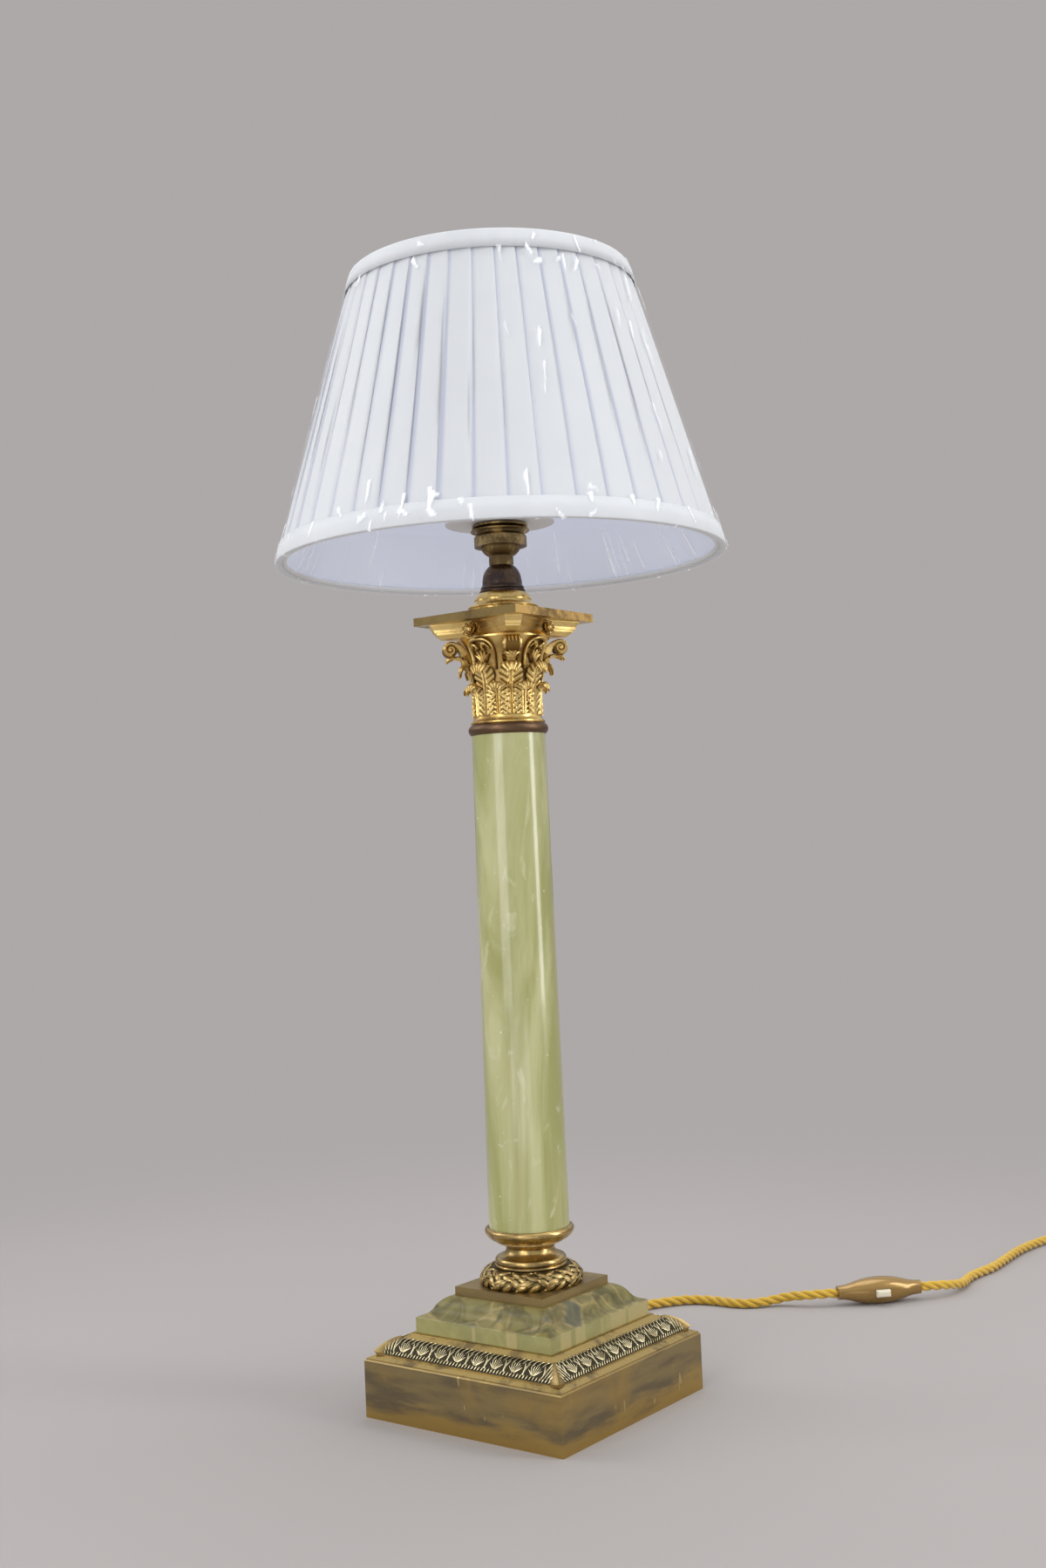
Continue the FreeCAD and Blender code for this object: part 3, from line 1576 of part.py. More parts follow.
def plug_outline(inset, height):
    """Top view of the plug along +X from the flex: a block with round corners, wider at its end."""
    length = number("plug_length") - inset
    half = number("plug_width") / 2 - inset
    narrow = half - number("plug_corner") * 0.8
    corner = number("plug_corner")
    cut = corner * (1 - math.sqrt(0.5))
    steps = [
        (FreeCAD.Vector(inset, -narrow, height),),
        (FreeCAD.Vector(corner, -half + cut * 0.7, height), FreeCAD.Vector(corner * 1.9, -half, height)),
        (FreeCAD.Vector(length - corner, -half, height),),
        (
            FreeCAD.Vector(length - cut, -half + cut, height),
            FreeCAD.Vector(length, -half + corner, height),
        ),
        (FreeCAD.Vector(length, half - corner, height),),
        (
            FreeCAD.Vector(length - cut, half - cut, height),
            FreeCAD.Vector(length - corner, half, height),
        ),
        (FreeCAD.Vector(corner * 1.9, half, height),),
        (FreeCAD.Vector(corner, half - cut * 0.7, height), FreeCAD.Vector(inset, narrow, height)),
    ]
    return face_through(steps).OuterWire


def make_plug(start, way):
    """A three-pin plug that lies on its back, pins up, with the flex going into its end."""
    cover_thick = number("plug_cover_thick")
    base_thick = number("plug_base_thick")
    taper = number("plug_taper")
    cover = Part.makeLoft(
        [plug_outline(taper, 0.0), plug_outline(0.0, taper), plug_outline(0.0, cover_thick)], True, True
    )
    base = Part.makeLoft(
        [plug_outline(0.0, cover_thick), plug_outline(0.6, cover_thick + base_thick)], True, True
    )
    top = cover_thick + base_thick
    inset = number("pin_inset")
    gap = number("pin_gap")
    thick = number("pin_thick")
    wide = number("pin_width")
    sunk = base_thick / 2
    pins = []
    for side in (-1.0, 1.0):
        corner = FreeCAD.Vector(inset - thick / 2, side * gap / 2 - wide / 2, top - sunk)
        pins.append(Part.makeBox(thick, wide, number("pin_rise") + sunk, corner))
    earth = FreeCAD.Vector(
        inset + gap - number("earth_depth") / 2, -number("earth_width") / 2, top - sunk
    )
    earth_size = (number("earth_depth"), number("earth_width"), number("earth_rise") + sunk)
    pins.append(Part.makeBox(*earth_size, earth))
    pins = Part.makeCompound(pins)
    screw_place = FreeCAD.Vector(inset + gap * 0.45, 0, top - 1.2)
    screw = Part.makeCylinder(number("plug_screw_radius"), 1.2, screw_place)
    base = base.cut(pins).cut(screw)
    foot = FreeCAD.Vector(start.x, start.y, 0)
    parts = {"plug_cover": cover, "plug_base": base, "plug_pins": pins, "plug_screw": screw}
    return [shaped(label, on_flex(solid, foot, way)) for label, solid in parts.items()]


# ---------------------------------------------------------------- all of it, checked and written

pieces = [make_plinth(), *make_felt_and_underplate(), make_leaf_moulding(), make_onyx_plinth()]
pieces += [make_cap_plate(), *make_column_foot(), make_column(), *make_neck_rings()]
pieces += make_capital()
pieces += [*make_cap_and_cup(), *make_tie()]
pieces += [make_holder_cap(), make_barrel(), *make_holder_rings(), *make_contacts()]
pieces += [*make_carrier(), *make_shade_skins()]
pieces += make_wiring()
flex_pieces, flex_tail, flex_way = make_flex()
pieces += flex_pieces
pieces += [*make_switch(), *make_plug(flex_tail, flex_way)]
doc.recompute()

for thing in doc.Objects:
    if {"Invalid", "Error"} & set(thing.State):
        raise RuntimeError(f"{thing.Label} failed: {thing.State}")
for piece in pieces:
    if piece.Shape.isNull() or not piece.Shape.isValid() or not piece.Shape.Solids:
        raise RuntimeError(f"{piece.Label} has no valid shape")

for piece in pieces:
    piece.Shape.exportStep(f"parts/{piece.Label}.step")
print(len(pieces), "pieces written")
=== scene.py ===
# %% [markdown]
# # A column table lamp
#
# The lamp is a stepped base of brass and green onyx, a turned onyx column with a gilt Corinthian
# capital, and a pleated white shade in its clear wrapping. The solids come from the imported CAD
# part. This lesson keeps the solids whose shape is right, gives each one a material, and makes
# the pieces that a solid is too plain for: the twisted flex, the cast leaves, the pleats and film.

import json
import math
import random

import bmesh
import bpy
from mathutils import Matrix, Vector
from mathutils.noise import noise as lattice_noise


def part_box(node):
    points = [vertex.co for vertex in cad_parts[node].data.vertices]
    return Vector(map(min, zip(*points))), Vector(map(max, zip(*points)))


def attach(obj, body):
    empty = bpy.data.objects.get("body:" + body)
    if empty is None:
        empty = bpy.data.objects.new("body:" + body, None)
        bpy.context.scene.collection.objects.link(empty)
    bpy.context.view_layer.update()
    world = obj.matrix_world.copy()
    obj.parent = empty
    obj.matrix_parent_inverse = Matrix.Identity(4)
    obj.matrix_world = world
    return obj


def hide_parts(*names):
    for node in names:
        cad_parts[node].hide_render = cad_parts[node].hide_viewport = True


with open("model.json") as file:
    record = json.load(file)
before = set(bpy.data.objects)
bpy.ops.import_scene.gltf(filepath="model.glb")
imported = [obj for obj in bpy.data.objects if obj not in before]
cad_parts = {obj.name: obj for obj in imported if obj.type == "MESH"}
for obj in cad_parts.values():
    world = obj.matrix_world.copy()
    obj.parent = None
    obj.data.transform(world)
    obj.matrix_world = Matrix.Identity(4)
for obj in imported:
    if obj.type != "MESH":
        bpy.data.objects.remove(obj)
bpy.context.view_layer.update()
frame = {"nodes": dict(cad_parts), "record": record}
scene = bpy.context.scene
up = Vector((0, 0, 1))

# %% [markdown]
# ## The camera
#
# The photograph looks at one corner of the base from a little above it, with the camera held
# almost level and turned slightly clockwise. A camera's own axes are its right, its up and the
# direction away from the view, so the three are worked out and written into its matrix.

# %% Camera
CAMERA_SPOT = Vector((0.7221, -0.9372, 0.3644))
CAMERA_AIM = Vector((-0.6043, 0.7958, 0.0398)).normalized()
CAMERA_ROLL = -0.0427
CAMERA_LENS = 40.33


def make_camera():
    level_right = CAMERA_AIM.cross(up).normalized()
    level_up = level_right.cross(CAMERA_AIM)
    right = level_right * math.cos(CAMERA_ROLL) + level_up * math.sin(CAMERA_ROLL)
    top = level_up * math.cos(CAMERA_ROLL) - level_right * math.sin(CAMERA_ROLL)
    axes = Matrix((right, top, -CAMERA_AIM)).transposed()
    lens = bpy.data.cameras.new("camera")
    lens.lens = CAMERA_LENS
    lens.clip_start = 0.05
    lens.clip_end = 60.0
    camera = bpy.data.objects.new("camera", lens)
    camera.matrix_world = Matrix.Translation(CAMERA_SPOT) @ axes.to_4x4()
    scene.collection.objects.link(camera)
    scene.camera = camera
    return camera


camera = make_camera()
print("camera", [round(x, 3) for x in camera.location], "lens", CAMERA_LENS)

# %% [markdown]
# ## Small helpers for materials
#
# Every finish here is built from the same few parts: a place on the piece, noise laid over it,
# a soft mask cut from that noise, and a mix of two colours by that mask. Naming these steps once
# keeps each material short enough to read.


# %% Material helpers
def feed(tree, socket, value):
    """Links a node's output to the socket, or writes a plain number or colour into it."""
    if isinstance(value, bpy.types.NodeSocket):
        tree.links.new(value, socket)
    else:
        socket.default_value = (*value, 1.0) if socket.type == "RGBA" and len(value) == 3 else value


def new_material(name, **settings):
    """A material and its shader. The settings are numbers or colours that are the same all over."""
    material = bpy.data.materials.new(name)
    material.use_nodes = True
    shader = material.node_tree.nodes["Principled BSDF"]
    for socket, value in settings.items():
        feed(material.node_tree, shader.inputs[socket.replace("_", " ")], value)
    return material, material.node_tree, shader


def node(tree, kind, settings=None, **sockets):
    """A node with its settings and sockets. A kind without the word Node is a shader node."""
    made = tree.nodes.new(kind if "Node" in kind else "ShaderNode" + kind)
    for name, value in (settings or {}).items():
        setattr(made, name, value)
    for name, value in sockets.items():
        feed(tree, made.inputs[name.replace("_", " ")], value)
    return made


def place_on(tree, stretch=(1.0, 1.0, 1.0), turn=(0.0, 0.0, 0.0), by="Object"):
    """Where a point is on its piece, in metres, stretched or turned for the pattern."""
    where = node(tree, "TexCoord").outputs[by]
    return node(tree, "Mapping", Vector=where, Scale=stretch, Rotation=turn).outputs["Vector"]


def noise(tree, where, scale, detail=4.0, bend=0.0):
    made = node(tree, "TexNoise", Vector=where, Scale=scale, Detail=detail, Roughness=0.55, Distortion=bend)
    return made.outputs["Fac"]


def mask(tree, value, low, high, start=0.0, end=1.0):
    """0 below low and 1 above high, with a soft edge between."""
    limits = {"From_Min": low, "From_Max": high, "To_Min": start, "To_Max": end}
    made = node(tree, "MapRange", {"interpolation_type": "SMOOTHSTEP"}, Value=value, **limits)
    return made.outputs["Result"]


def mix(tree, share, first, second):
    made = node(tree, "Mix", {"data_type": "RGBA"})
    for index, value in ((0, share), (6, first), (7, second)):
        feed(tree, made.inputs[index], value)
    return made.outputs[2]


def math_node(tree, how, *values):
    made = node(tree, "Math", {"operation": how})
    for socket, value in zip(made.inputs, values):
        feed(tree, socket, value)
    return made.outputs[0]


def height_on(tree):
    return node(tree, "SeparateXYZ", Vector=place_on(tree)).outputs["Z"]


def bump(tree, shader, height, depth, strength=1.0):
    made = node(tree, "Bump", Height=height, Distance=depth, Strength=strength)
    tree.links.new(made.outputs["Normal"], shader.inputs["Normal"])


def link(tree, output, shader, socket):
    tree.links.new(output, shader.inputs[socket])


def deep_places(tree):
    """How deep in a hollow or a fold each point of a modelled piece lies, from 0 to 1."""
    return node(tree, "Attribute", {"attribute_name": "deep"}).outputs["Fac"]


def two_tones(tree, shader, share, first, second, rough):
    """A colour and a roughness where the share is 0, and others where it is 1."""
    link(tree, mix(tree, share, first, second), shader, "Base Color")
    link(tree, mask(tree, share, 0.0, 1.0, *rough), shader, "Roughness")


made_materials = {}

# %% [markdown]
# ## Aged brass
#
# Old brass isn't one colour. Where hands and dusters reach it the metal stays golden, and
# elsewhere it goes brown and olive, in clouds. All the brass here mixes a bright metal with a
# dark one by a cloudy mask, and the dark places are rougher too. Fine scratches go into the bump.


# %% Brass
def brass(name, bright, dark, clouds, share, rough):
    material, tree, shader = new_material(name, Metallic=1.0)
    where = place_on(tree)
    big = noise(tree, where, clouds, detail=5.0, bend=0.4)
    small = noise(tree, where, clouds * 7.0, detail=3.0)
    both = math_node(tree, "MULTIPLY_ADD", small, 0.3, big)
    two_tones(tree, shader, mask(tree, both, share - 0.12, share + 0.16), bright, dark, rough)
    scratches = noise(tree, place_on(tree, (1.0, 1.0, 14.0)), 160.0, detail=2.0)
    bump(tree, shader, scratches, 0.00003)
    return material


for slot_name, values in {
    "brass_turned": ("turned_brass", (0.60, 0.43, 0.17), (0.20, 0.135, 0.06), 38.0, 0.66, (0.22, 0.4)),
    "holder_brass": ("holder_brass", (0.50, 0.36, 0.15), (0.17, 0.115, 0.05), 70.0, 0.60, (0.3, 0.45)),
    "pin_brass": ("pin_brass", (0.78, 0.60, 0.28), (0.5, 0.36, 0.16), 90.0, 0.8, (0.22, 0.35)),
    "gilt_plain": ("gilt_plain", (0.86, 0.60, 0.20), (0.34, 0.20, 0.06), 60.0, 0.70, (0.24, 0.42)),
    "ring_bronze": ("ring_bronze", (0.34, 0.20, 0.11), (0.16, 0.10, 0.06), 50.0, 0.55, (0.30, 0.45)),
    "dark_bronze": ("dark_bronze", (0.17, 0.11, 0.065), (0.075, 0.055, 0.045), 50.0, 0.55, (0.26, 0.4)),
}.items():
    made_materials[slot_name] = brass(*values)
print("brass", list(made_materials))

# %% [markdown]
# Cast and gilded work is painted bright where it stands up and dark in its hollows: painted shade,
# together with the patina that gathers there. The carved pieces carry that depth as an attribute
# of their points, called deep. The plain solids have no such attribute, so for them it reads as
# nothing and a height or a distance takes its place.


# %% Carved metal
def carved_metal(name, bright, worn, dark, sunk=(0.25, 0.8), rough=(0.24, 0.6), shade=None):
    """Bright ridges, a worn tone in clouds over them, and dark hollows of painted shade and patina. A shade
    function, where given, adds painted shade by the place on a plain solid.
    """
    material, tree, shader = new_material(name, Metallic=1.0)
    where = place_on(tree)
    clouds = noise(tree, where, 70.0, detail=5.0, bend=0.5)
    specks = noise(tree, where, 520.0, detail=3.0)
    top = mix(tree, mask(tree, clouds, 0.48, 0.70), bright, worn)
    depth = math_node(tree, "MULTIPLY_ADD", specks, 0.5, math_node(tree, "SUBTRACT", deep_places(tree), 0.25))
    # hollow is painted shade together with patina, strongest deep in the hollows
    hollow = mask(tree, depth, *sunk)
    if shade:
        hollow = math_node(tree, "MAXIMUM", hollow, shade(tree))
    two_tones(tree, shader, hollow, top, dark, rough)
    bump(tree, shader, specks, 0.00012)
    return material


BAND_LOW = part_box("leaf_moulding")[0].z + 0.0031
BAND_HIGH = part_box("leaf_moulding")[0].z + 0.0122
WREATH_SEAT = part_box("laurel_wreath")[0].z
BELL_NEAR, BELL_FAR = 0.0275, 0.0345


def painted_band_shade(tree):
    """Painted shade on the hollow ground of the moulding's leaf band, under the struck relief, between two
    smooth golden slopes.
    """
    height = height_on(tree)
    over_foot = mask(tree, height, BAND_LOW, BAND_LOW + 0.0006)
    under_top = mask(tree, height, BAND_HIGH - 0.0004, BAND_HIGH + 0.0002, 1.0, 0.0)
    return math_node(tree, "MULTIPLY", over_foot, under_top)


# Painted shade on the wreath's ring above its lowest edge, under the laurel sprays laid on it.
def painted_wreath_shade(tree):
    return mask(tree, height_on(tree), WREATH_SEAT - 0.0004, WREATH_SEAT, 0.0, 0.92)


def painted_bell_shade(tree):
    """Painted shade: dark where a piece of the capital comes near the bell."""
    where = node(tree, "SeparateXYZ", Vector=place_on(tree))
    flat = node(tree, "CombineXYZ", X=where.outputs["X"], Y=where.outputs["Y"]).outputs[0]
    reach = node(tree, "VectorMath", {"operation": "LENGTH"}, Vector=flat).outputs["Value"]
    uneven = math_node(tree, "MULTIPLY_ADD", noise(tree, place_on(tree), 160.0), 0.008, reach)
    return mask(tree, uneven, BELL_NEAR, BELL_FAR, 0.62, 0.0)


GILT = ((0.90, 0.67, 0.26), (0.72, 0.48, 0.16), (0.25, 0.14, 0.04), (0.25, 0.8), (0.36, 0.62))
OLD_BRASS = ((0.50, 0.36, 0.13), (0.24, 0.17, 0.08))
# The last column is the painted shade that a plain solid gets by its place; None where it gets none.
for slot_name, name, tones, shade in (
    ("brass_leaf", "band_brass", (*OLD_BRASS, (0.055, 0.048, 0.030)), painted_band_shade),
    ("wreath_brass", "wreath_brass", (*OLD_BRASS, (0.085, 0.065, 0.030)), painted_wreath_shade),
    (
        "struck_brass", "struck_brass",
        ((0.80, 0.70, 0.44), (0.36, 0.29, 0.15), (0.06, 0.053, 0.034), (0.25, 0.72), (0.26, 0.6)), None,
    ),
    (
        "spray_brass", "spray_brass",
        ((0.52, 0.38, 0.16), (0.28, 0.20, 0.085), (0.10, 0.075, 0.035), (0.3, 0.85), (0.34, 0.62)), None,
    ),
    (
        "mitre_brass", "mitre_brass",
        ((0.40, 0.29, 0.12), (0.24, 0.17, 0.08), (0.10, 0.07, 0.03), (0.3, 1.1), (0.42, 0.62)), None,
    ),
    ("gilt_brass", "gilt_brass", GILT, None),
    ("gilt_bell", "gilt_bell", GILT, painted_bell_shade),
):
    made_materials[slot_name] = carved_metal(name, *tones, shade=shade)

# %% [markdown]
# The plinth has a finish of its own. Its faces have gone brown in long level streaks, and gold
# shows through in patches and along the lower edge, where hands lift it. A few scuffs are pale.


# %% Plinth
PLINTH_FOOT = (0.004, 0.017)
PLINTH_EDGE = (0.0355, 0.0372)


def plinth_brass():
    material, tree, shader = new_material("plinth_brass", Metallic=1.0)
    where = place_on(tree)
    clouds = noise(tree, where, 16.0, detail=6.0, bend=0.6)
    streaks = noise(tree, place_on(tree, (1.0, 1.0, 6.0)), 22.0, detail=6.0)
    height = height_on(tree)
    wobble = math_node(tree, "MULTIPLY_ADD", streaks, 0.030, -0.015)
    low_edge = mask(tree, math_node(tree, "ADD", height, wobble), *PLINTH_FOOT, 1.0, 0.0)
    top_edge = mask(tree, height, *PLINTH_EDGE, 0.0, 0.25)
    rubbed = mask(tree, clouds, 0.50, 0.72, 0.0, 0.7)
    gold = math_node(tree, "MAXIMUM", math_node(tree, "MAXIMUM", low_edge, top_edge), rubbed)
    dark = mix(tree, mask(tree, streaks, 0.36, 0.66), (0.33, 0.255, 0.125), (0.20, 0.16, 0.10))
    marks = noise(tree, place_on(tree, (1.0, 1.0, 0.4), (0.4, 0.3, 0.0)), 140.0, detail=2.0)
    scuffs = math_node(tree, "MULTIPLY", mask(tree, marks, 0.70, 0.74), 0.5)
    face = mix(tree, gold, dark, (0.50, 0.34, 0.11))
    link(tree, mix(tree, scuffs, face, (0.72, 0.56, 0.24)), shader, "Base Color")
    link(tree, mask(tree, gold, 0.0, 1.0, 0.46, 0.34), shader, "Roughness")
    bump(tree, shader, noise(tree, where, 900.0, detail=2.0), 0.00002)
    return material


made_materials["brass_base"] = plinth_brass()
print("carved metals and plinth", len(made_materials))

# %% [markdown]
# ## Onyx
#
# The column is one piece of pale green onyx: milky, polished, with slow cloudy bands that run
# along it and a few white flecks. The block under it is faced with smaller pieces, so it changes
# colour in patches, with pale amber and dark grey-green side by side.


# %% Onyx
BLOCK_EDGE = (0.0610, 0.0632)
BLOCK_CELLS = 46.0


def column_onyx():
    material, tree, shader = new_material(
        "column_onyx", Roughness=0.22, Coat_Weight=0.6, Coat_Roughness=0.07,
        Subsurface_Weight=0.15, Subsurface_Radius=(0.012, 0.010, 0.005), Subsurface_Scale=0.4,
    )
    along = place_on(tree, (1.0, 1.0, 0.22))
    bands = noise(tree, along, 24.0, detail=5.0, bend=1.2)
    veins = noise(tree, place_on(tree, (1.0, 1.0, 0.12), (0.12, 0.05, 0.0)), 52.0, detail=7.0, bend=1.6)
    pale, green, straw = (0.55, 0.55, 0.29), (0.355, 0.36, 0.125), (0.48, 0.43, 0.19)
    body = mix(tree, mask(tree, bands, 0.36, 0.62), green, pale)
    body = mix(tree, mask(tree, veins, 0.56, 0.72, 0.0, 0.6), body, straw)
    swirls = noise(tree, place_on(tree, (1.0, 1.0, 0.5), (0.5, 0.3, 0.0)), 34.0, detail=5.0, bend=2.2)
    body = mix(tree, mask(tree, swirls, 0.60, 0.68, 0.0, 0.45), body, (0.66, 0.67, 0.44))
    flecks = noise(tree, place_on(tree), 240.0, detail=1.0)
    body = mix(tree, mask(tree, flecks, 0.76, 0.80, 0.0, 0.6), body, (0.80, 0.80, 0.62))
    link(tree, body, shader, "Base Color")
    return material


def block_onyx():
    material, tree, shader = new_material(
        "block_onyx", Roughness=0.42, Coat_Weight=0.12, Coat_Roughness=0.12, Specular_IOR_Level=0.35
    )
    where = place_on(tree)
    cells = {"Vector": where, "Scale": BLOCK_CELLS, "Randomness": 0.9}
    patches = node(tree, "TexVoronoi", **cells)
    tone = node(tree, "SeparateColor", Color=patches.outputs["Color"]).outputs[0]
    clouds = noise(tree, where, 60.0, detail=6.0, bend=1.5)
    body = mix(tree, mask(tree, clouds, 0.32, 0.66), (0.086, 0.072, 0.020), (0.205, 0.175, 0.052))
    body = mix(tree, mask(tree, tone, 0.68, 0.84, 0.0, 0.6), body, (0.070, 0.080, 0.070))
    body = mix(tree, mask(tree, tone, 0.02, 0.26, 0.45, 0.0), body, (0.34, 0.27, 0.11))
    seams = node(tree, "TexVoronoi", {"feature": "DISTANCE_TO_EDGE"}, **cells)
    joint = mask(tree, seams.outputs["Distance"], 0.0, 0.09, 0.50, 0.0)
    joint = math_node(tree, "MULTIPLY", joint, mask(tree, clouds, 0.38, 0.60, 0.25, 1.0))
    body = mix(tree, joint, body, (0.42, 0.32, 0.13))
    low = mask(tree, height_on(tree), *BLOCK_EDGE, 1.0, 0.0)
    blocks = node(tree, "TexVoronoi", Vector=place_on(tree, (1.0, 1.0, 0.0)), Scale=84.0)
    block_tone = node(tree, "SeparateColor", Color=blocks.outputs["Color"]).outputs[1]
    edge_stone = mix(tree, mask(tree, block_tone, 0.76, 0.88), (0.335, 0.315, 0.125), (0.50, 0.41, 0.19))
    edge_stone = mix(tree, mask(tree, clouds, 0.40, 0.66, 0.0, 0.5), edge_stone, (0.40, 0.385, 0.17))
    body = mix(tree, math_node(tree, "MULTIPLY", low, 0.85), body, edge_stone)
    link(tree, body, shader, "Base Color")
    return material


made_materials["column_onyx"] = column_onyx()
made_materials["green_onyx"] = block_onyx()
print("onyx of the column and the block")

# %% [markdown]
# ## Plain finishes
#
# Steel, moulded plastic, enamel, ceramic and felt each need less, but none is one flat colour:
# each has a fine grain in its roughness or its bump. The lining gives off a little light, which
# stands for the daylight that comes through the cloth.


# %% Plain finishes
def plain(name, colour, rough, grain=400.0, depth=0.00002, change=0.12, **settings):
    material, tree, shader = new_material(name, **settings)
    spread = noise(tree, place_on(tree), grain * 0.1, detail=3.0)
    darker = tuple(c * (1.0 - change) for c in colour)
    link(tree, mix(tree, spread, colour, darker), shader, "Base Color")
    link(tree, mask(tree, spread, 0.3, 0.7, rough * 0.85, rough * 1.15), shader, "Roughness")
    bump(tree, shader, noise(tree, place_on(tree), grain, detail=2.0), depth)
    return material


for name, colour, rough, settings in (
    ("plain_steel", (0.52, 0.52, 0.50), 0.34, {"Metallic": 1.0}),
    ("felt", (0.05, 0.13, 0.07), 0.95, {"grain": 1500.0, "depth": 0.0004, "change": 0.4}),
    ("insulator", (0.80, 0.78, 0.72), 0.35, {}),
    ("core_sleeve", (0.70, 0.62, 0.42), 0.8, {"grain": 1200.0, "depth": 0.0001}),
    ("black_plastic", (0.025, 0.025, 0.026), 0.42, {"grain": 1800.0, "depth": 0.00003}),
    ("cream_plastic", (0.80, 0.74, 0.58), 0.3, {"Coat_Weight": 0.3}),
    ("white_enamel", (0.84, 0.85, 0.86), 0.32, {"change": 0.05}),
    ("switch_gold", (0.42, 0.25, 0.065), 0.24, {"change": 0.35, "Metallic": 0.55, "Coat_Weight": 0.6}),
    ("shade_lining", (0.80, 0.83, 0.93), 0.5, {
        "grain": 300.0, "change": 0.04, "Emission_Color": (0.80, 0.86, 1.0), "Emission_Strength": 0.11,
    }),
):
    made_materials[name] = plain(name, colour, rough, **settings)
print("plain finishes done, materials so far", len(made_materials))

# %% [markdown]
# ## The shade's cloth and its clear wrapping
#
# The cloth is a fine white weave. The threads are too fine to model, so they go into the bump, and
# the roots of the pleats are painted darker, as painted shade.
# The wrapping is a thin clear film. A low alpha keeps the cloth behind it, and the film turns white
# and opaque along its creases, with a little light of its own: painted glints on the creases.


# %% Cloth and film
def shade_cloth():
    material, tree, shader = new_material("shade_cloth", Roughness=0.85, Sheen_Weight=0.25)
    where = place_on(tree)
    spread = noise(tree, where, 30.0, detail=3.0)
    cloth = mix(tree, spread, (0.72, 0.745, 0.77), (0.66, 0.685, 0.73))
    # Painted shade at the root of each pleat, a lavender grey.
    folds = mask(tree, deep_places(tree), 0.0, 1.0)
    link(tree, mix(tree, folds, cloth, (0.50, 0.53, 0.66)), shader, "Base Color")
    fine = noise(tree, place_on(tree, (1.0, 1.0, 0.25)), 2600.0, detail=1.0)
    bump(tree, shader, fine, 0.00006)
    return material


def clear_film():
    """All but unseen where it lies flat, and painted white along a crease as a glint."""
    material, tree, shader = new_material(
        "clear_film", Roughness=0.12, Specular_IOR_Level=0.8,
        Emission_Color=(0.95, 0.97, 1.0), Emission_Strength=0.2,
    )
    haze = noise(tree, place_on(tree), 60.0, detail=3.0)
    link(tree, mix(tree, haze, (0.95, 0.96, 0.97), (0.85, 0.88, 0.92)), shader, "Base Color")
    link(tree, mask(tree, deep_places(tree), 0.05, 0.9, 0.03, 0.95), shader, "Alpha")
    ripple = noise(tree, place_on(tree, (1.0, 1.0, 0.35), (0.5, 0.2, 0.0)), 55.0, detail=4.0, bend=0.8)
    bump(tree, shader, ripple, 0.0003, 0.5)
    return material


made_materials["shade_fabric"] = shade_cloth()
made_materials["clear_film"] = clear_film()
print("cloth and film")

# %% [markdown]
# ## The flex
#
# The flex is three cloth-covered cores twisted together, golden yellow, so it is soft and lies
# in loose bends. Its route is a list of points on the floor, the same as in the solid model, and
# one smooth spline goes through it. The strands are then wound round the points of that spline.

# %% Flex routes
FLEX = 0.0075
STRANDS = 3
STRAND_SIDES = 10
TWIST = 0.027
THREAD_PITCH = 0.0011
LAMP_ROUTE = [
    (0.0, 0.1025, 0.012), (0.0, 0.117, 0.0112), (-0.004, 0.134, 0.0058), (-0.016, 0.150, 0.00375),
    (-0.035, 0.163, 0.00375), (-0.055, 0.181, 0.00375), (-0.069, 0.203, 0.00375),
    (-0.067, 0.227, 0.00375), (-0.055, 0.249, 0.00375), (-0.041, 0.264, 0.00375),
    (-0.022, 0.269, 0.00375), (-0.005, 0.2685, 0.00375), (0.0085, 0.275, 0.00375),
    (0.0175, 0.287, 0.0046), (0.0285, 0.294, 0.0076), (0.047, 0.297, 0.010),
    (0.0619, 0.3118, 0.010),
]
PLUG_ROUTE = [
    (0.1097, 0.3591, 0.010), (0.122, 0.3713, 0.010), (0.1275, 0.389, 0.007),
    (0.1255, 0.408, 0.0042), (0.121, 0.427, 0.00375), (0.122, 0.446, 0.00375),
    (0.1254, 0.467, 0.00375), (0.1236, 0.496, 0.00375), (0.1206, 0.541, 0.00375),
    (0.1263, 0.5839, 0.00375), (0.1374, 0.6169, 0.00375), (0.1465, 0.6391, 0.00375),
]

# %% [markdown]
# The unseen length is wound into a flat coil, as a shop packs it: it winds in over the floor,
# climbs a layer at the middle, and winds out again on top, to the plug. A loop works the turns
# out. A spline of this kind stays a little inside its control points, so the points are set
# wider by that share.

# %% Coil
COIL_REACH = 0.050
COIL_PITCH = 0.0083
COIL_TURNS = 4.438
COIL_TAIL = 0.050
POINTS_A_TURN = 16


def coil_points():
    before, start = (Vector(p) for p in PLUG_ROUTE[-2:])
    way = (start - before).normalized()
    begin = start + way * FLEX
    centre = begin + Vector((way.y, -way.x, 0)) * COIL_REACH
    first_angle = math.atan2(begin.y - centre.y, begin.x - centre.x)
    wider = 1.0 / (0.75 + 0.25 * math.cos(2 * math.pi / POINTS_A_TURN))
    steps = round(COIL_TURNS * POINTS_A_TURN)
    points = []
    for i in range(steps + 1):
        turned = COIL_TURNS * i / steps
        wound = min(turned, COIL_TURNS - turned)
        reach = (COIL_REACH - COIL_PITCH * wound) * wider
        climb = min(max((turned - COIL_TURNS / 2) * 2 + 0.5, 0.0), 1.0)
        lift = FLEX / 2 + COIL_PITCH * climb * climb * (3 - 2 * climb)
        angle = first_angle - 2 * math.pi * turned
        points.append(Vector((centre.x + reach * math.cos(angle), centre.y + reach * math.sin(angle), lift)))
    along = Vector((math.sin(angle), -math.cos(angle), 0))
    last = Vector((centre.x + COIL_REACH * math.cos(angle), centre.y + COIL_REACH * math.sin(angle), lift))
    return points + [last + along * COIL_TAIL * 0.5, last + along * COIL_TAIL]


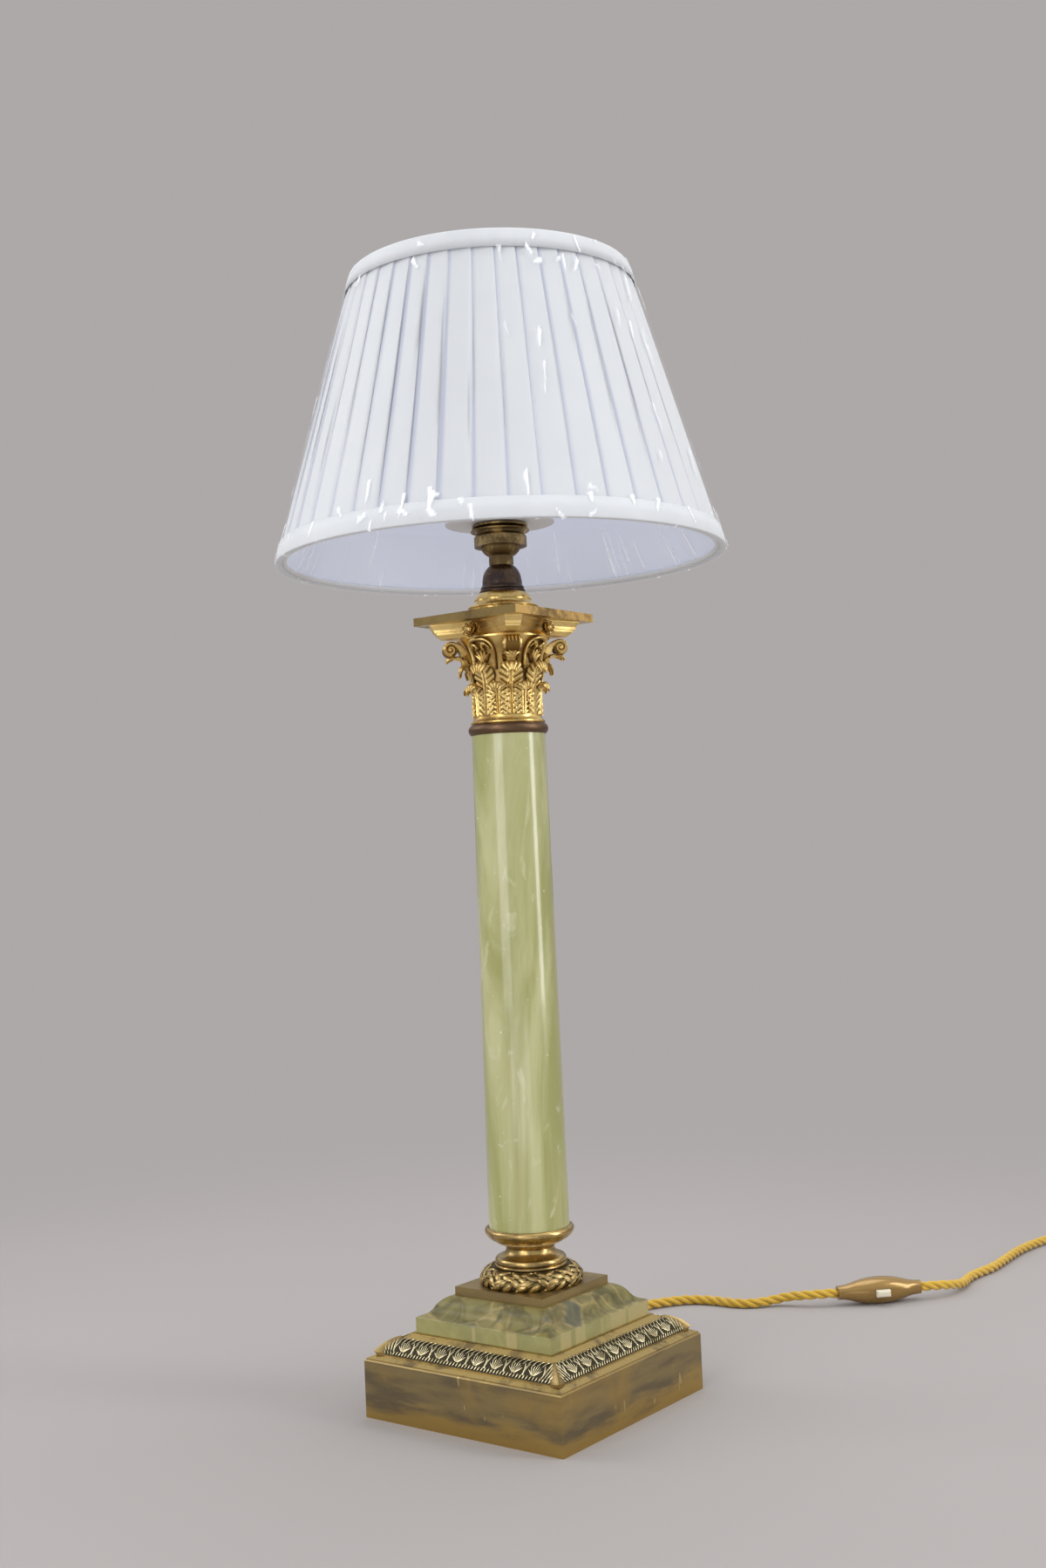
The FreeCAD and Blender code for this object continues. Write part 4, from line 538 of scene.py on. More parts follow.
def spline_points(name, route):
    """The points of a smooth spline over the route, close enough together to follow it."""
    curve = bpy.data.curves.new(name, "CURVE")
    curve.dimensions = "3D"
    spline = curve.splines.new("NURBS")
    spline.points.add(len(route) - 1)
    for point, spot in zip(spline.points, route):
        point.co = (*spot, 1.0)
    spline.order_u = 3
    spline.use_endpoint_u = True
    spline.resolution_u = 8
    holder = bpy.data.objects.new(name + "_route", curve)
    scene.collection.objects.link(holder)
    found = bpy.data.meshes.new_from_object(holder.evaluated_get(bpy.context.evaluated_depsgraph_get()))
    points = [v.co.copy() for v in found.vertices]
    bpy.data.objects.remove(holder)
    return points


def path_length(points):
    return sum((b - a).length for a, b in zip(points, points[1:]))


def way_at(points, i):
    """The direction of a line at one of its points."""
    return (points[min(i + 1, len(points) - 1)] - points[max(i - 1, 0)]).normalized()


# %% [markdown]
# A strand is a tube round a line that winds round the route. At each point the route has a
# direction, and a second direction across it is carried along without spinning. The tube's
# corners get a UV map in metres, so that the braid of the cover runs along the strand.


# %% Strands
def add_object(name, mesh, material, smooth=True):
    piece = bpy.data.objects.new(name, mesh)
    scene.collection.objects.link(piece)
    mesh.materials.clear()
    mesh.materials.append(material)
    if smooth:
        mesh.shade_smooth()
    return piece


def finished_mesh(name, work):
    """The work in hand as a mesh, with its faces turned outwards."""
    bmesh.ops.recalc_face_normals(work, faces=work.faces)
    mesh = bpy.data.meshes.new(name)
    work.to_mesh(mesh)
    work.free()
    return mesh


def even_points(points, step):
    """Points at equal steps along a line of points."""
    total = path_length(points)
    count = max(2, round(total / step))
    result, walked, i = [points[0]], 0.0, 0
    for k in range(1, count):
        target = total * k / count
        while walked + (points[i + 1] - points[i]).length < target:
            walked += (points[i + 1] - points[i]).length
            i += 1
        span = points[i + 1] - points[i]
        result.append(points[i] + span * ((target - walked) / span.length))
    return result + [points[-1]]


def carried_frames(points):
    """Each point with two directions across the line that don't spin along it."""
    frames = []
    across = None
    for i, point in enumerate(points):
        along = way_at(points, i)
        if across is None:
            across = along.cross(up).normalized()
        across = (across - along * across.dot(along)).normalized()
        frames.append((point, across, along.cross(across)))
    return frames


def tube_rings(work, uv_layer, centres, radius, sides):
    """Lays a closed tube over a list of (point, across, over) and maps it in metres."""
    rings = []
    angles = [2 * math.pi * k / sides for k in range(sides)]
    for point, across, over in centres:
        spots = [point + (across * math.cos(angle) + over * math.sin(angle)) * radius for angle in angles]
        rings.append([work.verts.new(spot) for spot in spots])
    around = 2 * math.pi * radius / sides
    run = 0.0
    for i, (low, high) in enumerate(zip(rings, rings[1:])):
        ahead = run + (centres[i + 1][0] - centres[i][0]).length
        for k in range(sides):
            n = (k + 1) % sides
            face = work.faces.new((low[k], low[n], high[n], high[k]))
            left, right = k * around, (k + 1) * around
            for loop, spot in zip(face.loops, ((left, run), (right, run), (right, ahead), (left, ahead))):
                loop[uv_layer].uv = spot
        run = ahead
    work.faces.new(list(reversed(rings[0])))
    work.faces.new(rings[-1])


def twisted_flex(name, points, material):
    core = FLEX / 2 / (1.0 + 2.0 / math.sqrt(3.0))
    reach = FLEX / 2 - core
    frames = carried_frames(even_points(points, TWIST / 12))
    work = bmesh.new()
    uv_layer = work.loops.layers.uv.new("metres")
    step = path_length([f[0] for f in frames]) / (len(frames) - 1)
    for strand in range(STRANDS):
        line = []
        for i, (point, across, over) in enumerate(frames):
            angle = 2 * math.pi * (i * step / TWIST + strand / STRANDS)
            line.append(point + (across * math.cos(angle) + over * math.sin(angle)) * reach)
        tube_rings(work, uv_layer, carried_frames(line), core * 1.02, STRAND_SIDES)
    return add_object(name, finished_mesh(name, work), material)


def flex_cloth():
    """Golden braid: two sets of threads that cross, paler where they stand up and darker between them."""
    material, tree, shader = new_material("flex_cloth", Roughness=0.62, Sheen_Weight=0.35)
    around, run = node(tree, "SeparateXYZ", Vector=place_on(tree, by="UV")).outputs[:2]
    thread = 2 * math.pi / THREAD_PITCH
    waves = []
    for how in ("ADD", "SUBTRACT"):
        slanted = math_node(tree, "MULTIPLY", math_node(tree, how, around, run), thread)
        waves.append(math_node(tree, "SINE", slanted))
    crown = mask(tree, math_node(tree, "MULTIPLY", *waves), -0.7, 0.9)
    spread = noise(tree, place_on(tree), 90.0, detail=3.0)
    deep = mix(tree, spread, (0.56, 0.30, 0.006), (0.70, 0.42, 0.015))
    link(tree, mix(tree, crown, deep, (0.88, 0.58, 0.035)), shader, "Base Color")
    bump(tree, shader, crown, 0.00018)
    return material


made_materials["gold_flex"] = flex_cloth()
print("flex cloth")

# %% Make the two runs of flex
lamp_line = spline_points("lamp_flex", LAMP_ROUTE)
plug_line = spline_points("plug_flex", PLUG_ROUTE + coil_points())
lamp_flex = twisted_flex("lamp_flex", lamp_line, made_materials["gold_flex"])
plug_flex = twisted_flex("plug_flex", plug_line, made_materials["gold_flex"])
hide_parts("flex_lamp_run")
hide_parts("flex_plug_run", "flex_coil")
SWITCH_PIECES = ["switch_upper_half", "switch_lower_half", "switch_push_bar", "switch_screws"]
PLUG_PIECES = ["plug_cover", "plug_base", "plug_pins", "plug_screw"]
for flex, line, far_end, lay, on_it in (
    (lamp_flex, lamp_line, "fitting", "loose", SWITCH_PIECES),
    (plug_flex, plug_line, "plug", "coiled", PLUG_PIECES),
):
    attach(flex, "lamp")
    even_points(line, FLEX / 2)
    print(flex.name, "length", round(path_length(line), 3))

# %% [markdown]
# ## One tree that repeats a unit
#
# The capital's leaves, the moulding's shells and the wreath's sprays all repeat. On the real lamp
# each was cast or struck from one pattern, so here each is one unit too. A tree of geometry nodes
# makes a point for every copy, gives it a place in its row and a turn round the lamp's axis, and
# puts the unit on it. The copies are made real and turned into a plain mesh at the end, because a
# finished piece carries no live modifier.

# %% Repeat tree
REPEAT_INPUTS = {
    "Unit": "Object",
    "Turns": "Int",
    "First turn": "Float",
    "In a row": "Int",
    "Pitch": "Float",
    "Sway": "Float",
    "Seed": "Int",
    "Finish": "Material",
}


def repeat_tree():
    """Copies in rows, each row turned round the axis by its share of a full turn."""
    tree = bpy.data.node_groups.new("repeat_round_the_axis", "GeometryNodeTree")
    for label, kind in REPEAT_INPUTS.items():
        tree.interface.new_socket(label, in_out="INPUT", socket_type="NodeSocket" + kind)
    tree.interface.new_socket("Geometry", in_out="OUTPUT", socket_type="NodeSocketGeometry")
    given = node(tree, "NodeGroupInput").outputs
    index = node(tree, "GeometryNodeInputIndex").outputs[0]
    row = math_node(tree, "FLOOR", math_node(tree, "DIVIDE", index, given["In a row"]))
    place = math_node(tree, "SUBTRACT", index, math_node(tree, "MULTIPLY", row, given["In a row"]))
    middle = math_node(tree, "MULTIPLY", math_node(tree, "SUBTRACT", given["In a row"], 1.0), 0.5)
    shift = math_node(tree, "MULTIPLY", math_node(tree, "SUBTRACT", place, middle), given["Pitch"])
    chance = node(tree, "FunctionNodeRandomValue", Seed=given["Seed"])
    for index_of_limit, limit in ((2, -1.0), (3, 1.0)):
        chance.inputs[index_of_limit].default_value = limit
    sway = math_node(tree, "MULTIPLY", chance.outputs[1], given["Sway"])
    step = math_node(tree, "DIVIDE", 2 * math.pi, given["Turns"])
    turn = math_node(tree, "MULTIPLY_ADD", row, step, math_node(tree, "ADD", given["First turn"], sway))
    in_row = node(tree, "CombineXYZ", X=shift).outputs[0]
    spot = node(tree, "VectorRotate", {"rotation_type": "Z_AXIS"}, Vector=in_row, Angle=turn).outputs[0]
    count = math_node(tree, "MULTIPLY", given["Turns"], given["In a row"])
    points = node(tree, "GeometryNodePoints", Count=count, Position=spot)
    unit = node(tree, "GeometryNodeObjectInfo", Object=given["Unit"])
    copies = node(
        tree, "GeometryNodeInstanceOnPoints", Points=points.outputs[0], Instance=unit.outputs["Geometry"],
        Rotation=node(tree, "CombineXYZ", Z=turn).outputs[0],
    )
    real = node(tree, "GeometryNodeRealizeInstances", Geometry=copies.outputs[0])
    dressed = node(tree, "GeometryNodeSetMaterial", Geometry=real.outputs[0], Material=given["Finish"])
    tree.links.new(dressed.outputs[0], tree.nodes.new("NodeGroupOutput").inputs[0])
    return tree


repeats = repeat_tree()
print("repeat tree", [item.name for item in repeats.interface.items_tree])

# %% [markdown]
# A unit is carved by a function that is handed a mesh to fill. A modifier's input is set by the
# identifier of its socket, so a small table goes from the names to the identifiers. What the tree
# gives is read from the evaluated object as a mesh of its own.


# %% Repeat a unit
def carved_mesh(name, carve):
    """A mesh with a depth on each point, filled by a function that is given the work in hand."""
    work = bmesh.new()
    layer = work.verts.layers.float.new("deep")
    carve(work, layer)
    return finished_mesh(name, work)


def repeated(name, carve, finish, turns, first=0.0, in_row=1, pitch=0.0, sway=0.0, seed=1):
    """A unit, carved in its own place on the lamp and repeated as one plain mesh."""
    material = made_materials[finish]
    unit = bpy.data.objects.new(name + "_unit", carved_mesh(name + "_unit", carve))
    holder = bpy.data.objects.new(name + "_rows", bpy.data.meshes.new(name + "_rows"))
    for thing in (unit, holder):
        scene.collection.objects.link(thing)
    modifier = holder.modifiers.new("repeat", "NODES")
    modifier.node_group = repeats
    keys = {item.name: item.identifier for item in repeats.interface.items_tree if item.in_out == "INPUT"}
    values = (unit, turns, float(first), in_row, float(pitch), float(sway), seed, material)
    for label, value in zip(REPEAT_INPUTS, values):
        modifier[keys[label]] = value
    graph = bpy.context.evaluated_depsgraph_get()
    mesh = bpy.data.meshes.new_from_object(
        holder.evaluated_get(graph), preserve_all_data_layers=True, depsgraph=graph
    )
    mesh.name = name
    bpy.data.objects.remove(holder)
    bpy.data.objects.remove(unit)
    piece = add_object(name, mesh, material)
    mesh.set_sharp_from_angle(angle=math.radians(50))
    print(name, "copies", turns * in_row, "faces", len(mesh.polygons))
    return piece


# %% [markdown]
# ## Carved shells
#
# Every leaf here is a thin shell between a carved front and a plain back. Both are surfaces given
# by two shares, along the leaf and across it, so a carving is only a function that adds a little
# height. The same function says how deep in a hollow a point lies, and that goes into an attribute
# of the mesh. The gilding is painted dark in the hollows, as painted shade together with the patina
# that old gilding has there, and it stays bright on the ridges.


# %% Shell between two surfaces
def closed_patch(work, layer, surface, across, along):
    """The surface gives a point and its depth for shares of 0..1 along and -1..1 across."""
    sheets = []
    for under in (False, True):
        rows = []
        for j in range(along + 1):
            row = []
            for i in range(across + 1):
                spot, deep = surface(j / along, i / across * 2 - 1, under)
                vertex = work.verts.new(spot)
                vertex[layer] = deep
                row.append(vertex)
            rows.append(row)
        sheets.append(rows)
        for low, high in zip(rows, rows[1:]):
            for i in range(across):
                work.faces.new((low[i], low[i + 1], high[i + 1], high[i]))
    top, under = sheets
    sides = [[row[0] for row in rows] for rows in sheets], [[row[-1] for row in rows] for rows in sheets]
    for upper, lower in (*sides, (top[0], under[0]), (top[-1], under[-1])):
        for i in range(len(upper) - 1):
            work.faces.new((upper[i], upper[i + 1], lower[i + 1], lower[i]))


def join_round(work, rings):
    """Faces between each ring of points and the next, all the way round."""
    for low, high in zip(rings, rings[1:]):
        for k in range(len(low)):
            n = (k + 1) % len(low)
            work.faces.new((low[k], low[n], high[n], high[k]))


def wave_at(turns):
    """A wave between 0 and 1, which is 1 at every whole turn."""
    return 0.5 + 0.5 * math.cos(2 * math.pi * turns)


def ridge(value, middle, wide):
    """1 at the middle, falling softly to 0 on both sides."""
    return math.exp(-(((value - middle) / wide) ** 2))


def rising(value, low, high):
    """0 below low and 1 above high, with a soft step between."""
    share = min(max((value - low) / (high - low), 0.0), 1.0)
    return share * share * (3 - 2 * share)


def smooth_line(knots, steps):
    """Evenly spread points of a smooth curve that goes through the knots."""
    knots = [Vector(knot) for knot in knots]
    ends = [knots[0] * 2 - knots[1], *knots, knots[-1] * 2 - knots[-2]]
    dense = []
    for a, b, c, d in zip(ends, ends[1:], ends[2:], ends[3:]):
        for i in range(12):
            t = i / 12
            bend = (a * 2 - b * 5 + c * 4 - d) * t * t + (b * 3 - a - c * 3 + d) * t * t * t
            dense.append((b * 2 + (c - a) * t + bend) * 0.5)
    dense.append(knots[-1])
    return even_points(dense, path_length(dense) / steps)


# %% [markdown]
# ## The capital's acanthus leaves
#
# Two tiers of eight leaves stand round the bell, the upper ones between the lower ones. Each hugs
# the bell, leans out near its top and curls over at its lip. From the side it is a smooth line
# through a few knots, given as shares of its rise and its reach. Across, it wraps round the bell.
# A double rib runs up its middle, slanted veins leave it on both sides, and the lip is fluted.

# %% Acanthus leaf
BELL_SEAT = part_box("capital_bell")[0].z
BELL_RADIUS = 0.022
LEAF_COUNT = 8
SIDES = 4
LEAF_BACKING = 0.0011
SIDE_KNOTS = [
    (0.16, 0.0), (0.16, 0.36), (0.22, 0.62), (0.42, 0.82), (0.74, 0.95), (0.98, 0.97), (1.12, 0.90),
    (1.12, 0.83),
]
WIDTH_KNOTS = [(0.0, 0.66), (0.2, 0.82), (0.42, 0.93), (0.62, 1.0), (0.78, 0.94), (0.9, 0.78), (1.0, 0.42)]


def between(knots, share):
    """A value read off a line of (share, value) knots."""
    for (low, first), (high, second) in zip(knots, knots[1:]):
        if share <= high:
            return first + (second - first) * (share - low) / (high - low)
    return knots[-1][1]


def leaf_line(rise, reach, along):
    lean = reach - BELL_RADIUS
    knots = [(BELL_RADIUS + lean * out, 0.0, BELL_SEAT + rise * high) for out, high in SIDE_KNOTS]
    return smooth_line(knots, along)


def acanthus(line, width, veins, lobes, flutes, lip):
    """A function that carves one leaf along a line at the +X side of the bell."""
    along = len(line) - 1

    def side_frame(share):
        i = round(share * along)
        way = way_at(line, i)
        return line[i], Vector((way.z, 0.0, -way.x))

    def half_width(share):
        scallop = 1.0 - abs(math.sin(math.pi * (share * lobes + 0.15)))
        return width / 2 * between(WIDTH_KNOTS, share) * (1.0 - 0.16 * scallop**2)

    def over_lip(share):
        return rising(share, lip - 0.05, lip + 0.07)

    def relief(share, side):
        out = abs(side)
        over = over_lip(share)
        blade = rising(out, 0.15, 0.30) * (1.0 - over)
        wave = wave_at(share * veins - out * 1.3)
        flute = wave_at(side * flutes)
        lift = 0.0008 * ridge(out, 0.13, 0.06) * (1.0 - 0.6 * over)
        lift += 0.0005 * (wave - 0.6) * blade + 0.0010 * (flute - 0.6) * over
        lift += 0.0005 * rising(out, 0.74, 1.0) * (1.0 - over)
        middle = ridge(out, 0.0, 0.05) * (1.0 - over)
        return lift, max(blade * (1.0 - wave) ** 2, over * (1.0 - flute) ** 2.5, middle)

    def back(share, side):
        flute = wave_at(side * flutes)
        over = over_lip(share)
        return -LEAF_BACKING - 0.0005 * flute * over, 1.0 - (0.35 + 0.5 * flute) * over

    def surface(share, side, under):
        lift, deep = back(share, side) if under else relief(share, side)
        spot, outward = side_frame(share)
        turn = Matrix.Rotation(side * half_width(share) / spot.x, 3, "Z")
        droop = 0.0020 * side * side * rising(share, lip - 0.1, lip + 0.1)
        return turn @ (spot + outward * lift) - up * droop, deep

    return lambda work, layer: closed_patch(work, layer, surface, 30, along)


lower_leaf = acanthus(leaf_line(0.0208, 0.0274, 84), 0.0168, 8.0, 4.0, 2.5, 0.76)
upper_leaf = acanthus(leaf_line(0.0346, 0.0297, 96), 0.0166, 10.0, 5.0, 2.5, 0.83)
HALF_STEP = math.pi / LEAF_COUNT
lower_tier = repeated("lower_leaves", lower_leaf, "gilt_brass", LEAF_COUNT, HALF_STEP)
upper_tier = repeated("upper_leaves", upper_leaf, "gilt_brass", LEAF_COUNT)
for tier, solid in ((lower_tier, "lower_acanthus_leaves"), (upper_tier, "upper_acanthus_leaves")):
    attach(tier, "lamp")
    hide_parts(solid)

# %% [markdown]
# ## The rosettes of the abacus
#
# A flower sits in the middle of each hollow side of the abacus. It has a ring of wide cupped
# petals, a smaller ring that stands over it, and a round eye. A petal is again a carved shell.

# %% Rosette
rosette_low, rosette_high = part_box("abacus_rosettes")
ROSETTE_MIDDLE = (rosette_low.z + rosette_high.z) / 2
ROSETTE_TALL = (rosette_high.z - rosette_low.z) / 2
ROSETTE_WIDE = ROSETTE_TALL / 0.74
ROSETTE_FRONT = rosette_low.y + 0.0039
PETAL_THICK = 0.0009


def petal(work, layer, angle, near, far, half, lift, cup):
    """A cupped petal that points away from the flower's middle, on the -Y side of the lamp."""

    def surface(share, side, under):
        reach = near + (far - near) * share
        spread = side * half * math.sin(math.pi * min(0.12 + share * 0.8, 1.0)) ** 0.7
        x = math.cos(angle) * reach - math.sin(angle) * spread
        z = (math.sin(angle) * reach + math.cos(angle) * spread) * ROSETTE_TALL / ROSETTE_WIDE
        rib = 0.0003 * math.cos(side * math.pi * 3)
        out = lift + cup * (side * side * 0.7 + share * share) + rib * share
        deep = max(1.0 - share * 1.5, wave_at(side * 1.5), 0.0)
        back = PETAL_THICK if under else 0.0
        return Vector((x, ROSETTE_FRONT - out + back, ROSETTE_MIDDLE + z)), deep

    closed_patch(work, layer, surface, 10, 7)


def rosette(work, layer):
    for count, near, far, half, lift, cup in (
        (7, 0.0012, ROSETTE_WIDE, 0.0034, -0.0006, 0.0013),
        (5, 0.0006, ROSETTE_WIDE * 0.66, 0.0026, 0.0010, 0.0016),
    ):
        for i in range(count):
            petal(work, layer, 2 * math.pi * (i + 0.25 * count / 7) / count, near, far, half, lift, cup)
    middle = Matrix.Translation((0.0, ROSETTE_FRONT - 0.0022, ROSETTE_MIDDLE))
    bmesh.ops.create_icosphere(work, subdivisions=2, radius=0.0019, matrix=middle)


rosettes = repeated("rosettes", rosette, "gilt_brass", SIDES)
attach(rosettes, "lamp")
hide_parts("abacus_rosettes")

# %% [markdown]
# ## The leaf moulding
#
# Round the base runs a convex band of shells with curled leaves over them, struck in one strip and
# mitred at the corners under a plain leaf. Its metal is nearly white on the ridges and painted dark
# green between them, as painted shade together with patina. The solid has the band itself, so only
# the relief is added: every rib, curl and bead is a small ridge laid on the band, whose place is
# given in metres along the side and in shares of the way up the band. A ridge's line is worked out
# flat, in millimetres, on a strip that is 15 mm tall. A few lobes fill the corners between the last
# shell and the plain leaf.

# %% Band of the moulding
moulding_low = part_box("leaf_moulding")[0]
BAND_FOOT = Vector((0.0744, moulding_low.z + 0.0034))
BAND_TOP = Vector((0.0617, moulding_low.z + 0.0122))
BAND_BULGE = 0.00136
UNITS_A_SIDE = 8
UNIT_PITCH = 0.0152
MM = 1000
STRIP_TALL = 15
BEAD = UNIT_PITCH / 6


def band_spot(along, share, lift):
    """A place on the convex band of the -Y side."""
    run = BAND_TOP - BAND_FOOT
    outward = Vector((run.y, -run.x)).normalized()
    spot = BAND_FOOT + run * share + outward * (BAND_BULGE * 4 * share * (1 - share) + lift)
    return Vector((along, -spot.x, spot.y))


def laid_ridge(work, layer, knots, wide, high, place=band_spot, steps=7, swelling=0.75, root=-0.0004):
    """A ridge, thickest a little before its end, along knots of (along, share)."""
    line = smooth_line([(along * MM, share * STRIP_TALL, 0.0) for along, share in knots], steps)

    def surface(share, side, under):
        i = round(share * steps)
        way = way_at(line, i)
        full = math.sin(math.pi * min(0.08 + share * 0.86, 1.0))
        swell = (1.0 - swelling + swelling * full) * wide * MM / 2
        x = line[i].x - way.y * side * swell
        y = line[i].y + way.x * side * swell
        crown = math.sqrt(max(1.0 - side * side, 0.0)) * (1.0 - swelling * 0.5 * (1.0 - share))
        spot = place(x / MM, y / STRIP_TALL, root if under else high * crown)
        return spot, 1.0 if under else abs(side) ** 1.5

    closed_patch(work, layer, surface, 4, steps)


def bead(work, layer, middle, place=band_spot):
    knots = ((middle - 0.0006, 0.03), (middle, 0.10), (middle + 0.0007, 0.18))
    laid_ridge(work, layer, knots, 0.0011, 0.0011, place)


def moulding_unit(work, layer):
    """A shell with seven ribs, a row of curled lobes over it and a row of beads under it."""
    for i in range(7):
        lean = (i - 3) / 3
        root = (lean * 0.0008, 0.22)
        tip = (lean * 0.0052, 0.68 - 0.20 * lean * lean)
        via = ((root[0] + tip[0]) * 0.45 + lean * 0.0012, 0.40)
        laid_ridge(work, layer, (root, via, tip), 0.0010, 0.0008)
    for i in range(4):
        middle = (i - 1.5) * UNIT_PITCH / 4
        foot = 0.60 + 0.08 * math.cos(i * 2.4)
        shape = ((-0.0018, foot), (-0.0011, 0.80), (0.0007, 0.94), (0.0017, 0.88))
        curl = [(middle + off, share) for off, share in shape]
        laid_ridge(work, layer, curl, 0.0011 + 0.0002 * math.sin(i * 1.9), 0.0013)
    for side in (-1, 1):
        sweep = ((0.0070, 0.16), (0.0078, 0.36), (0.0068, 0.56), (0.0058, 0.72))
        laid_ridge(work, layer, [(side * off, share) for off, share in sweep], 0.0017, 0.0011)
    for i in range(6):
        bead(work, layer, (i - 2.5) * BEAD)


def mitre_leaf(work, layer):
    """A plain leaf over the corner between the -Y and the +X side."""

    def surface(share, side, under):
        half = 0.0048 * (1.0 - share) + 0.0022 + 0.0004 * math.sin(share * 19.0)
        lift = -0.0004 if under else 0.0012 * (1.0 - side * side * 0.6) + 0.0006 * ridge(side, 0.0, 0.16)
        spot = band_spot(0.0, share, lift)
        inward = abs(side) * half
        if side < 0:
            return Vector((-spot.y - inward, spot.y, spot.z)), 0.35 + 0.5 * abs(side)
        return Vector((-spot.y, spot.y + inward, spot.z)), 0.35 + 0.5 * abs(side)

    closed_patch(work, layer, surface, 16, 14)


# along the side, share of the way up at the foot and at the top
CORNER_LOBES = [(0.0620, 0.22, 0.90), (0.0640, 0.20, 0.74), (0.0660, 0.20, 0.54), (0.0678, 0.18, 0.36)]


def corner_unit(work, layer):
    """The lobes and beads between the last shell of a side and the leaf over the corner."""
    for across in (False, True):

        def place(along, share, lift):
            spot = band_spot(along, share, lift)
            return Vector((-spot.y, -spot.x, spot.z)) if across else spot

        for start, foot, top in CORNER_LOBES:
            knots = ((start - 0.0012, foot), (start, (foot + top) / 2), (start + 0.0006, top))
            laid_ridge(work, layer, knots, 0.0014, 0.0012, place)
        for i in range(4):
            bead(work, layer, CORNER_LOBES[0][0] + i * BEAD, place)


shells = repeated(
    "moulding_shells", moulding_unit, "struck_brass", SIDES, in_row=UNITS_A_SIDE, pitch=UNIT_PITCH
)
corner_leaves = repeated("corner_leaves", mitre_leaf, "mitre_brass", SIDES)
corner_lobes = repeated("corner_lobes", corner_unit, "struck_brass", SIDES)
for piece in (shells, corner_leaves, corner_lobes):
    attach(piece, "lamp")

# %% [markdown]
# ## The capital's scrolls
#
# At each corner a band rises from between the leaves, turns level and rolls up under the abacus.
# It widens like a horn as it rises, and fine grooves run along it. From the side the roll shows its
# spiral round a sunk web painted dark, as painted shade, with a bright eye. Its line is a stem and
# then a spiral, whose radius shrinks with the angle. A small leaf leans out under it and holds it up.

# %% Corner scroll
BELL_RISE = 0.0528
SCROLL_REACH = 0.0374
SCROLL_RISE = BELL_RISE - 0.0074
SCROLL_RADIUS = 0.0053
SCROLL_HALF = 0.0060
SCROLL_BAND = 0.0016
STEM_BAND = 0.0062


def scroll_line(steps):
    stem = [(0.0236, 0.0330), (0.0240, 0.0390), (0.0262, 0.0440), (0.0305, 0.0482)]
    roll = []
    for i in range(17):
        radius = SCROLL_RADIUS * (1.0 - 0.78 * (i / 16) ** 0.85)
        angle = math.pi * (0.60 - 3.7 * i / 16)
        roll.append((SCROLL_REACH + radius * math.cos(angle), SCROLL_RISE + radius * math.sin(angle)))
    return smooth_line([(out, 0.0, BELL_SEAT + high) for out, high in stem + roll], steps)


def corner_scroll(work, layer):
    steps = 110
    line = scroll_line(steps)

    def surface(share, side, under):
        i = round(share * steps)
        way = way_at(line, i)
        outward = Vector((-way.z, 0.0, way.x))
        half = SCROLL_HALF * (0.42 + 0.58 * rising(share, 0.0, 0.38))
        grooves = wave_at(side * 2.5)
        edge = rising(abs(side), 0.80, 1.0)
        lift = 0.0005 * grooves * (1.0 - edge) - 0.0004 * edge
        deep = 0.45 if under else (1.0 - grooves) ** 2.5 * (1.0 - edge)
        thick = STEM_BAND + (SCROLL_BAND - STEM_BAND) * rising(share, 0.12, 0.42)
        return line[i] + outward * (-thick if under else lift) + Vector((0.0, side * half, 0.0)), deep

    closed_patch(work, layer, surface, 20, steps)
    middle = Vector((SCROLL_REACH, 0.0, BELL_SEAT + SCROLL_RISE))
    across = Matrix.Rotation(math.pi / 2, 4, "X")
    web = bmesh.ops.create_cone(
        work, cap_ends=True, segments=32, radius1=SCROLL_RADIUS * 0.93, radius2=SCROLL_RADIUS * 0.93,
        depth=SCROLL_HALF * 2 - 0.0028, matrix=Matrix.Translation(middle) @ across,
    )
    # The sunk web is given a depth that paints shade on it.
    for vertex in web["verts"]:
        vertex[layer] = 0.9
    for side in (-1, 1):
        eye = Matrix.Translation(middle + Vector((0.0, side * (SCROLL_HALF - 0.0010), 0.0)))
        bmesh.ops.create_icosphere(work, subdivisions=2, radius=0.0017, matrix=eye)


TONGUE_KNOTS = [
    (0.0232, 0.0325), (0.0262, 0.0362), (0.0300, 0.0388), (0.0342, 0.0400), (0.0376, 0.0398),
    (0.0396, 0.0382),
]
tongue_line = smooth_line([(out, 0.0, BELL_SEAT + high) for out, high in TONGUE_KNOTS], 54)
tongue_leaf = acanthus(tongue_line, 0.0130, 4.0, 4.0, 2.5, 0.78)


def scroll_and_tongue(work, layer):
    corner_scroll(work, layer)
    tongue_leaf(work, layer)


scrolls = repeated("corner_volutes", scroll_and_tongue, "gilt_brass", SIDES, math.pi / 4)

# %% [markdown]
# Between the corners two stalks rise and meet in a round arch under each rosette, and a little
# palmette fills it. These are ridges again, laid on the bell this time.


# %% Arches on the bell
ARCH_REACH = 0.026
STALK = [(0.0098, 0.0300), (0.0096, 0.0360), (0.0094, 0.0415), (0.0080, 0.0462), (0.0048, 0.0492)]
CURL = [(0.0070, 0.0440), (0.0040, 0.0468), (0.0018, 0.0448), (0.0034, 0.0430)]


def bell_spot(around, share, lift):
    """A place on the bell: metres round it from the -Y side, and its height in shares of the strip."""
    high = share * STRIP_TALL / MM
    flare = max(high - 0.034, 0.0) / (BELL_RISE - 0.0352)
    reach = BELL_RADIUS + (0.0305 - BELL_RADIUS) * flare**1.8 + lift
    angle = around / ARCH_REACH
    height = BELL_SEAT + min(high, BELL_RISE - 0.0006)
    return Vector((reach * math.sin(angle), -reach * math.cos(angle), height))


